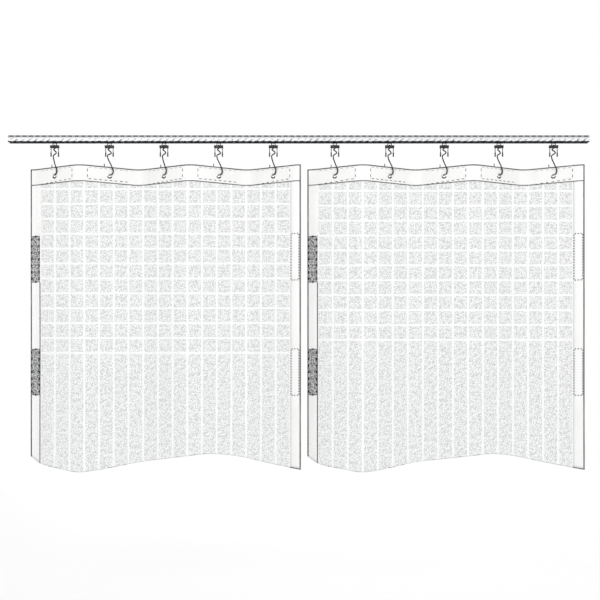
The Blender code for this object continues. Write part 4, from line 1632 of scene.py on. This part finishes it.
@dataclass(frozen=True)
class HeaderPlate:
    """A stiffener plate in the header and the eyelet that is riveted through it.

    Args:
        length: The plate's length.
        height: The plate's height.
        thickness: The plate's thickness.
        below_top: How far the plate's middle lies below the header's top.
        eyelet_below_top: The same for the eyelet's centre.
        bore: The radius of the eyelet's bore.
        barrel_wall: The wall of its barrel.
        flange: The radius of its flanges.
        pocket_reach: How far the stitched pocket goes from the hook, behind and before a forward fold.
        pocket_slant: How far its lower seam falls away from a forward fold.
    """

    length: float = 0.174
    height: float = 0.048
    thickness: float = 0.0010
    below_top: float = 0.036
    eyelet_below_top: float = 0.041
    bore: float = 0.0070
    barrel_wall: float = 0.0010
    flange: float = 0.0125
    pocket_reach: tuple[float, float] = (0.092, 0.103)
    pocket_slant: float = 0.0105

    def eyelet_mesh(self, seat: float) -> bpy.types.Mesh:
        """A barrel with a rolled flange on each face.

        Args:
            seat: How far from the sheet's middle the flanges lie.

        Returns:
            The eyelet about the origin, with its axis along Y.
        """
        outer = self.bore + self.barrel_wall
        crown = seat + 0.0012
        half = [
            (self.bore, 0.0),
            (self.bore, seat + 0.0002),
            (self.bore + 0.0006, crown - 0.0001),
            (self.bore + 0.0018, crown + 0.0002),
            (self.bore + 0.0032, crown - 0.0002),
            (self.flange - 0.0012, seat + 0.0007),
            (self.flange - 0.0002, seat + 0.0005),
            (self.flange, seat + 0.0001),
            (self.flange - 0.0004, seat),
            (outer, seat),
            (outer, 0.0),
        ]
        bm = turned(half, 48)
        bmesh.ops.mirror(bm, geom=[*bm.verts, *bm.edges, *bm.faces], axis="Z", merge_dist=MERGE)
        bmesh.ops.rotate(bm, verts=bm.verts, cent=(0, 0, 0), matrix=Matrix.Rotation(math.pi / 2, 3, "X"))
        return mesh_of(bm, "eyelet")

    def plate_mesh(self) -> bpy.types.Mesh:
        """The plate about its own middle, with round corners and the hole for the barrel."""
        bm = bmesh.new()
        made = bmesh.ops.create_cube(bm, size=1.0)["verts"]
        bmesh.ops.scale(bm, verts=made, vec=(self.length, self.thickness, self.height))
        corners = [edge for edge in bm.edges if abs(edge.verts[0].co.y - edge.verts[1].co.y) > MERGE]
        bmesh.ops.bevel(
            bm, geom=corners, offset=0.006, segments=5, profile=0.5, affect="EDGES", material=-1
        )
        plate = object_of("plate", mesh_of(bm, "plate"))
        hole = rod_mesh("barrel_hole", self.bore + self.barrel_wall + 0.0001, -0.005, 0.005, "Y")
        hole.transform(Matrix.Translation((0, 0, self.below_top - self.eyelet_below_top)))
        combine(plate, hole, "DIFFERENCE")
        return settled(plate)

    def stitches(self, panel: Panel, number: int) -> bpy.types.Mesh:
        """The seam of the plate's pocket, which stays open at its end by the backward fold."""
        row = Stitching(panel, length=0.0150, pitch=0.0255, width=0.0030)
        upper = Stitching(panel, length=0.0150, pitch=0.0255, width=0.0014)
        bm = bmesh.new()
        middle = panel.hook_run(number)
        rise = panel.top - self.below_top
        forward = number % 2 == 1
        reaches = self.pocket_reach if forward else self.pocket_reach[::-1]
        start = max(middle - reaches[0], panel.sizes.hem_width + 0.0020)
        end = min(middle + reaches[1], panel.plan.length - panel.sizes.hem_width - 0.0020)
        foot, head = rise - self.height / 2 - 0.0022, rise + self.height / 2 + 0.0015
        corners = [(start, head), (start, foot - (self.pocket_slant if forward else 0)), (end, foot), (end, head)]
        closed = corners[1:] if forward else corners[:-1]
        for face in Face:
            out = face.value * (panel.sizes.header_half + 0.0003)
            for start, end in zip(closed, closed[1:]):
                row.row(bm, start, end, out)
            upper.row(bm, corners[-1], corners[0], out)
        return mesh_of(bm, "pocket_stitches")

    def build(self, panel: Panel, finishes: Finishes) -> list[bpy.types.Object]:
        """Build the eyelet, the plate and the pocket's stitches at each of a panel's hooks.

        Args:
            panel: The panel.
            finishes: The materials.

        Returns:
            The pieces.
        """
        made = []
        eyelet = self.eyelet_mesh(panel.sizes.header_half + 0.0001)
        plate = self.plate_mesh()
        for number in panel.numbers:
            run = panel.hook_run(number)
            turn = Matrix.Rotation(panel.turn(run), 4, "Z")
            pieces = []
            for name, mesh, below, finish in (
                ("eyelet", eyelet, self.eyelet_below_top, finishes.eyelet),
                ("stiffener", plate, self.below_top, finishes.plate),
            ):
                own = mesh.copy()
                own.transform(Matrix.Translation(panel.world(run, 0, panel.top - below)) @ turn)
                piece = object_of(f"{name}_{panel.tag(number)}", own, finish)
                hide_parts(f"header_plate_{panel.tag(number)}")
                pieces.append(piece)
            seam = object_of(
                f"pocket_stitches_{panel.tag(number)}", self.stitches(panel, number), finishes.grey_thread
            )
            for piece in [*pieces, seam]:
                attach(piece, panel.body(number))
            made += [*pieces, seam]
        return made


@dataclass(frozen=True)
class HangingHook:
    """A wire hook: its head turns in the runner, and its foot goes through the eyelet.

    The shares of a bend or a leg are listed as shares of the reach or height named beside them.

    Args:
        wire: The wire's radius.
        bar_top: The height of the top of the runner's bar.
        bar_height: The bar's height.
        leg_length: The length of the runner's legs, over which the wire bends.
        head_radius: The radius of the upset head.
        head_height: The height of the upset head.
        bend_reach: How far the bends go to the sides.
        front_reach: How far the front leg goes to the right.
        tip_reach: How far the tip goes to the left.
        stand_off: How far the legs stay from the header's middle.
        saddle_reach: Half the width of the saddle in the eyelet.
        tip_above_top: How far the tip rises above the header.
        sleeve: How much thicker the coated wire is than the bare wire.
        bend_shares: Share of the bends' reach, share of the leg length.
        front_shares: Share of the front reach, share of the stand-off, share of the way down.
        back_shares: Share of the tip's reach, share of the stand-off, share of the way up.
    """

    wire: float = 0.002
    bar_top: float = -0.0424
    bar_height: float = 0.0124
    leg_length: float = 0.040
    head_radius: float = 0.0045
    head_height: float = 0.0025
    bend_reach: float = 0.0085
    front_reach: float = 0.0160
    tip_reach: float = 0.0225
    stand_off: float = 0.0056
    saddle_reach: float = 0.0018
    tip_above_top: float = 0.013
    sleeve: float = 0.40
    bend_shares: tuple[tuple[float, float], ...] = (
        (0.0, 0.00),
        (-0.75, 0.13),
        (0.75, 0.38),
        (0.85, 0.56),
        (-0.85, 0.76),
        (-1.0, 1.00),
    )
    front_shares: tuple[tuple[float, float, float], ...] = (
        (-0.28, 0.20, 0.16),
        (0.40, 0.90, 0.44),
        (0.84, 1.00, 0.64),
        (1.00, 1.00, 0.79),
        (0.78, 1.00, 0.92),
        (0.38, 0.90, 0.985),
    )
    back_shares: tuple[tuple[float, float, float], ...] = (
        (0.25, 0.90, 0.015),
        (0.62, 1.00, 0.08),
        (0.94, 1.00, 0.30),
        (1.00, 1.00, 1.00),
    )

    def points(self, top: float) -> list[Vector]:
        """The wire's route below the bar, along the sheet, behind it and up.

        Args:
            top: The height of the header's top.

        Returns:
            The points of the route, from the bar down to the saddle and up to the tip.
        """
        plate = HeaderPlate()
        bar_bottom = self.bar_top - self.bar_height
        points = [Vector((0, 0, self.bar_top)), Vector((0, 0, bar_bottom))]
        for along, down in self.bend_shares:
            height = bar_bottom - self.wire - self.leg_length * down
            points.append(Vector((self.bend_reach * along, 0, height)))
        saddle = top - plate.eyelet_below_top + plate.bore - self.wire - 0.0009
        low = saddle - 0.0006
        leg_top = points[-1].z
        for along, before, down in self.front_shares:
            height = between(leg_top, low, down)
            points.append(Vector((self.front_reach * along, -self.stand_off * before, height)))
        points.append(Vector((self.saddle_reach, -self.stand_off / 2, low)))
        points.append(Vector((0, 0, saddle)))
        points.append(Vector((-self.saddle_reach, self.stand_off / 2, low)))
        for along, behind, up in self.back_shares:
            height = between(low, top + self.tip_above_top, up)
            points.append(Vector((-self.tip_reach * along, self.stand_off * behind, height)))
        return points

    def coated(self, place: Vector, top: float) -> float:
        """1 on the coated front of the wire, 0 in the bar, in the eyelet and behind the sheet."""
        if place.y > self.wire / 2:
            return 0.0
        below_bar = self.bar_top - self.bar_height - place.z
        above_foot = place.z - (top - HeaderPlate().eyelet_below_top)
        return ease(below_bar, 0.0015, 0.0050) * ease(above_foot, 0.0, 0.0080)

    def mesh(self, top: float) -> bpy.types.Mesh:
        """The bent wire with its domed head, its washer and its rounded tip."""
        curve = bpy.data.curves.new("hook_wire", "CURVE")
        curve.dimensions = "3D"
        curve.bevel_depth = self.wire
        curve.bevel_resolution = 4
        curve.use_fill_caps = True
        path = smooth_path(self.points(top), 6)
        tip = path[-1] + (path[-1] - path[-2]).normalized() * self.wire * 0.6
        spline = curve.splines.new("POLY")
        spline.points.add(len(path))
        for point, place in zip(spline.points, [*path, tip]):
            point.co = (*place, 1.0)
            point.radius = 1.0 + self.sleeve * self.coated(place, top)
        spline.points[-1].radius = 0.55
        wire = object_of("hook_wire", curve)
        bm = bmesh.new()
        bm.from_mesh(settled(wire))
        seat = self.bar_top + 0.0003
        head = [
            (0, seat + self.head_height),
            (self.head_radius * 0.55, seat + self.head_height * 0.93),
            (self.head_radius * 0.9, seat + self.head_height * 0.6),
            (self.head_radius, seat + self.head_height * 0.25),
            (self.head_radius, seat),
            (0, seat),
        ]
        washer_top = self.bar_top - self.bar_height - 0.0004
        washer = [
            (0, washer_top),
            (0.0042, washer_top),
            (0.0044, washer_top - 0.0004),
            (0.0042, washer_top - 0.0009),
            (0, washer_top - 0.0009),
        ]
        for profile in (head, washer):
            part = bpy.data.meshes.new("head")
            turned_part = turned(profile, 24)
            turned_part.to_mesh(part)
            turned_part.free()
            bm.from_mesh(part)
        return mesh_of(bm, "hook_wire")

    def build(self, panel: Panel, finishes: Finishes) -> list[bpy.types.Object]:
        """Build a hook at each of a panel's eyelets."""
        made = []
        mesh = self.mesh(panel.top)
        for number, x in zip(panel.numbers, panel.hooks):
            own = mesh.copy()
            turn = Matrix.Rotation(panel.turn(panel.hook_run(number)), 4, "Z")
            own.transform(Matrix.Translation((x, 0, 0)) @ turn)
            piece = object_of(f"hook_wire_{panel.tag(number)}", own, finishes.wire)
            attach(piece, panel.body(number))
            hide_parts(f"hook_{panel.tag(number)}")
            made.append(piece)
        return made


@dataclass(frozen=True)
class Runner:
    """A runner: a hanger plate on an axle, a bar below the rail and two legs round the hook.

    Args:
        axle_level: The axle's height.
        axle: The axle's radius.
        plate: The hanger plate's thickness.
        head_radius: The radius of the plate's round head.
        neck: The plate's width below its head.
        bar: The bar's length, depth and height.
        bar_top: The height of the bar's top.
        leg_spacing: The distance between the legs.
        leg: The width of a leg's foot.
        leg_length: A leg's length below the bar.
        stem: A leg's width above its foot.
        foot: The foot's length.
        window: The width and height of the opening for the hook's head.
        swivel: The radius of the hole for the hook.
    """

    axle_level: float = -0.0181
    axle: float = 0.002
    plate: float = 0.003
    head_radius: float = 0.008
    neck: float = 0.020
    bar: tuple[float, float, float] = (0.042, 0.014, 0.0124)
    bar_top: float = -0.0424
    leg_spacing: float = 0.034
    leg: float = 0.006
    leg_length: float = 0.040
    stem: float = 0.0034
    foot: float = 0.0205
    window: tuple[float, float] = (0.013, 0.008)
    swivel: float = 0.0023

    def hanger(self) -> bpy.types.Mesh:
        """The hanger plate with its round head, its edges eased."""
        half = self.neck / 2
        foot = self.bar_top - self.bar[2] / 2
        shoulder = self.axle_level - self.head_radius
        bm = bmesh.new()
        outline = [(-half, foot), (half, foot), (half, shoulder)]
        steps = 16
        for step in range(steps + 1):
            angle = math.pi * step / steps
            x = self.head_radius * math.cos(angle)
            outline.append((x, self.axle_level + self.head_radius * math.sin(angle)))
        outline.append((-half, shoulder))
        face = bm.faces.new([bm.verts.new((x, -self.plate / 2, z)) for x, z in outline])
        made = bmesh.ops.extrude_face_region(bm, geom=[face])["geom"]
        moved = [item for item in made if isinstance(item, bmesh.types.BMVert)]
        bmesh.ops.translate(bm, verts=moved, vec=(0, self.plate, 0))
        rims = [edge for edge in bm.edges if abs(edge.verts[0].co.y - edge.verts[1].co.y) < MERGE]
        bmesh.ops.bevel(
            bm, geom=rims, offset=0.0004, segments=2, profile=0.5, affect="EDGES", material=-1
        )
        return mesh_of(bm, "hanger")

    def mesh(self) -> bpy.types.Mesh:
        """The runner about x = 0, with its window and its holes."""
        bm = bmesh.new()
        middle = self.bar_top - self.bar[2] / 2
        block(bm, self.bar, (0, 0, middle), 0.0018)
        runner = object_of("runner", mesh_of(bm, "bar"))
        combine(runner, self.hanger(), "UNION")
        foot_middle = self.bar_top - self.bar[2] - self.leg_length + self.foot / 2
        for end in (-1, 1):
            x = end * self.leg_spacing / 2
            stem = bmesh.new()
            centre = (x, 0, (middle + foot_middle) / 2)
            block(stem, (self.stem, self.stem, middle - foot_middle), centre, 0.0010)
            combine(runner, mesh_of(stem, "stem"), "UNION")
            foot = bmesh.new()
            block(foot, (self.leg, self.leg, self.foot), (x, 0, foot_middle), 0.0022)
            combine(runner, mesh_of(foot, "foot"), "UNION")
        hole = rod_mesh("axle_hole", self.axle + 0.0003, -0.004, 0.004, "Y")
        hole.transform(Matrix.Translation((0, 0, self.axle_level)))
        combine(runner, hole, "DIFFERENCE")
        width, height = self.window
        opening = bmesh.new()
        block(opening, (width, 0.02, height), (0, 0, self.bar_top + height / 2), 0.0012)
        combine(runner, mesh_of(opening, "window"), "DIFFERENCE")
        swivel = rod_mesh("swivel_hole", self.swivel, middle - 0.012, middle + 0.010, "Z")
        combine(runner, swivel, "DIFFERENCE")
        return settled(runner)

    def build(self, panel: Panel, finishes: Finishes) -> list[bpy.types.Object]:
        """Build a runner at each of a panel's hooks."""
        made = []
        mesh = self.mesh()
        for number, x in zip(panel.numbers, panel.hooks):
            own = mesh.copy()
            own.transform(Matrix.Translation((x, 0, 0)))
            piece = object_of(f"carrier_{panel.tag(number)}", own, finishes.runner)
            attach(piece, f"runner_{panel.tag(number)}")
            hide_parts(f"runner_{panel.tag(number)}")
            made.append(piece)
        return made


@dataclass(frozen=True)
class WheelPair:
    """Two nylon wheels on a steel axle.

    Args:
        level: The axle's height.
        radius: The wheels' radius.
        near: The distance from the middle to a wheel's inner face.
        far: The distance to its outer face.
        hub_near: The distance to the hub's inner end.
        hub: The hub's radius.
        axle: The axle's radius.
    """

    level: float = -0.0181
    radius: float = 0.010
    near: float = 0.0090
    far: float = 0.0170
    hub_near: float = 0.0019
    hub: float = 0.004
    axle: float = 0.002

    def wheel_profile(self) -> list[tuple[float, float]]:
        """A wheel's section from its outer face to its hub's inner end."""
        return [
            (0, self.far),
            (0.0030, self.far),
            (0.0034, self.far - 0.0007),
            (0.0068, self.far - 0.0007),
            (0.0072, self.far),
            (self.radius - 0.0009, self.far),
            (self.radius - 0.0003, self.far - 0.0003),
            (self.radius, self.far - 0.0009),
            (self.radius, self.near + 0.0009),
            (self.radius - 0.0003, self.near + 0.0003),
            (self.radius - 0.0009, self.near),
            (self.hub + 0.0006, self.near),
            (self.hub, self.near - 0.0004),
            (self.hub, self.hub_near + 0.0003),
            (self.hub - 0.0003, self.hub_near),
            (0, self.hub_near),
        ]

    def axle_profile(self) -> list[tuple[float, float]]:
        """The axle's section, with a riveted dome on each end."""
        end = self.far + 0.0010
        half = [(0, end), (0.0012, end - 0.0001), (0.0022, end - 0.0006), (0.0024, self.far), (self.axle, self.far)]
        return [*half, *[(radius, -height) for radius, height in half[::-1]]]

    def along_y(self, profile: Sequence[tuple[float, float]], mirrored: bool, name: str) -> bpy.types.Mesh:
        """Turn a section round Y at the axle's height, twice where it is mirrored."""
        bm = turned(profile, 40)
        if mirrored:
            bmesh.ops.mirror(bm, geom=[*bm.verts, *bm.edges, *bm.faces], axis="Z", merge_dist=MERGE)
        bmesh.ops.rotate(bm, verts=bm.verts, cent=(0, 0, 0), matrix=Matrix.Rotation(math.pi / 2, 3, "X"))
        bmesh.ops.translate(bm, verts=bm.verts, vec=(0, 0, self.level))
        return mesh_of(bm, name)

    def build(self, panel: Panel, finishes: Finishes) -> list[bpy.types.Object]:
        """Build the wheels and the axle of each of a panel's runners."""
        made = []
        wheels = self.along_y(self.wheel_profile(), True, "wheels")
        axle = self.along_y(self.axle_profile(), False, "axle")
        for number, x in zip(panel.numbers, panel.hooks):
            for name, mesh, finish in (("wheels", wheels, finishes.wheel), ("axle", axle, finishes.plate)):
                own = mesh.copy()
                own.transform(Matrix.Translation((x, 0, 0)))
                piece = object_of(f"{name}_{panel.tag(number)}", own, finish)
                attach(piece, f"wheels_{panel.tag(number)}")
                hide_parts(f"wheel_set_{panel.tag(number)}")
                made.append(piece)
        return made


@dataclass(frozen=True)
class Studio:
    """The camera, the lamps, the floor and the white surroundings.

    Args:
        camera_place: Where the camera stands, level and looking along Y.
        lens: Its focal length on a 36 mm sensor, in millimetres.
        rise: How far the picture is shifted up, because the camera stands below its middle.
        floor_level: The floor's height.
        floor_reach: How far the floor goes to each side.
        ambient: The strength of the light from all sides.
    """

    camera_place: tuple[float, float, float] = (0.006, -4.50, -1.060)
    lens: float = 59.0
    rise: float = 0.113
    floor_level: float = -2.20
    floor_reach: float = 4.5
    ambient: float = 0.82

    def camera(self) -> None:
        """Set the camera at the photograph's viewing angle."""
        data = bpy.data.cameras.new("camera")
        data.lens = self.lens
        data.sensor_width = 36.0
        data.shift_y = self.rise
        data.clip_end = 60.0
        made = object_of("camera", data)
        made.location = self.camera_place
        made.rotation_euler = (math.pi / 2, 0, 0)
        bpy.context.scene.camera = made

    def world(self) -> None:
        """White to the eye and in reflections, softer as a light."""
        world = bpy.data.worlds.new("studio")
        world.use_nodes = True
        bpy.context.scene.world = world
        wiring = Wiring(world.node_tree)
        sky = world.node_tree.nodes["Background"]
        sky.inputs["Color"].default_value = (1.0, 1.0, 1.0, 1.0)
        rays = wiring.node("ShaderNodeLightPath").outputs
        seen = wiring.math("MAXIMUM", rays["Is Camera Ray"], rays["Is Glossy Ray"])
        seen = wiring.math("MAXIMUM", seen, rays["Is Transmission Ray"])
        strength = wiring.ranged(seen, 0.0, 1.0, self.ambient, 1.0)
        wiring.feed(sky.inputs["Strength"], strength)

    def lamp(self, name: str, place: Vector, aim: Vector, size: float, power: float) -> None:
        """A square soft lamp aimed at a point."""
        data = bpy.data.lights.new(name, "AREA")
        data.size = size
        data.energy = power
        made = object_of(name, data)
        made.location = place
        made.rotation_euler = (aim - place).to_track_quat("-Z", "Y").to_euler()

    def floor(self) -> None:
        """A pale floor that keeps the curtain's soft shadow."""
        bm = bmesh.new()
        bmesh.ops.create_grid(bm, x_segments=1, y_segments=1, size=self.floor_reach)
        bmesh.ops.translate(bm, verts=bm.verts, vec=(0, 0, self.floor_level))
        made = bpy.data.materials.new("floor")
        made.use_nodes = True
        wiring = Wiring(made.node_tree)
        shader = made.node_tree.nodes["Principled BSDF"].inputs
        shader["Base Color"].default_value = (0.62, 0.62, 0.62, 1.0)
        shader["Roughness"].default_value = 0.9
        shader["Emission Color"].default_value = (1.0, 1.0, 1.0, 1.0)
        rays = wiring.node("ShaderNodeLightPath").outputs
        seen = wiring.math("MAXIMUM", rays["Is Camera Ray"], rays["Is Glossy Ray"])
        wiring.feed(shader["Emission Strength"], wiring.math("MULTIPLY", seen, 0.25))
        object_of("floor", mesh_of(bm, "floor"), made)

    def build(self) -> None:
        """Set up everything that isn't part of the curtain."""
        bpy.context.scene.view_settings.view_transform = "Standard"
        self.camera()
        self.world()
        middle = Vector((0, 0, -0.8))
        self.lamp("key", Vector((-2.4, -7.2, 2.4)), middle, 4.0, 190.0)
        self.lamp("fill", Vector((4.6, -6.4, 0.8)), middle, 4.0, 105.0)
        self.lamp("back", Vector((1.0, 7.0, 2.4)), middle, 4.0, 220.0)
        self.floor()


def main() -> None:
    """Dress the frame and report each group of pieces."""
    logging.basicConfig(level=logging.INFO, format="%(name)s: %(message)s")
    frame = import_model()
    Studio().build()
    lower = SheetSizes(first_thread=0.0342)
    panels = [Panel(Side.LEFT, SheetSizes(), 12), Panel(Side.RIGHT, lower, 11)]
    finishes = Finishes(panels)
    rail = frame["nodes"]["rail"]
    rail.data.materials.clear()
    rail.data.materials.append(finishes.rail)
    LOG.info("rail: %s", rail.name)
    for panel in panels:
        groups = {
            "sheet": Sheets(panel, finishes).build(),
            "tapes": Tapes(panel, finishes).build(),
            "header plates": HeaderPlate().build(panel, finishes),
            "hooks": HangingHook().build(panel, finishes),
            "runners": Runner().build(panel, finishes),
            "wheels": WheelPair().build(panel, finishes),
        }
        for name, pieces in groups.items():
            LOG.info("%s %s: %s", panel.side.value, name, ", ".join(piece.name for piece in pieces))


if __name__ == "__main__":
    main()
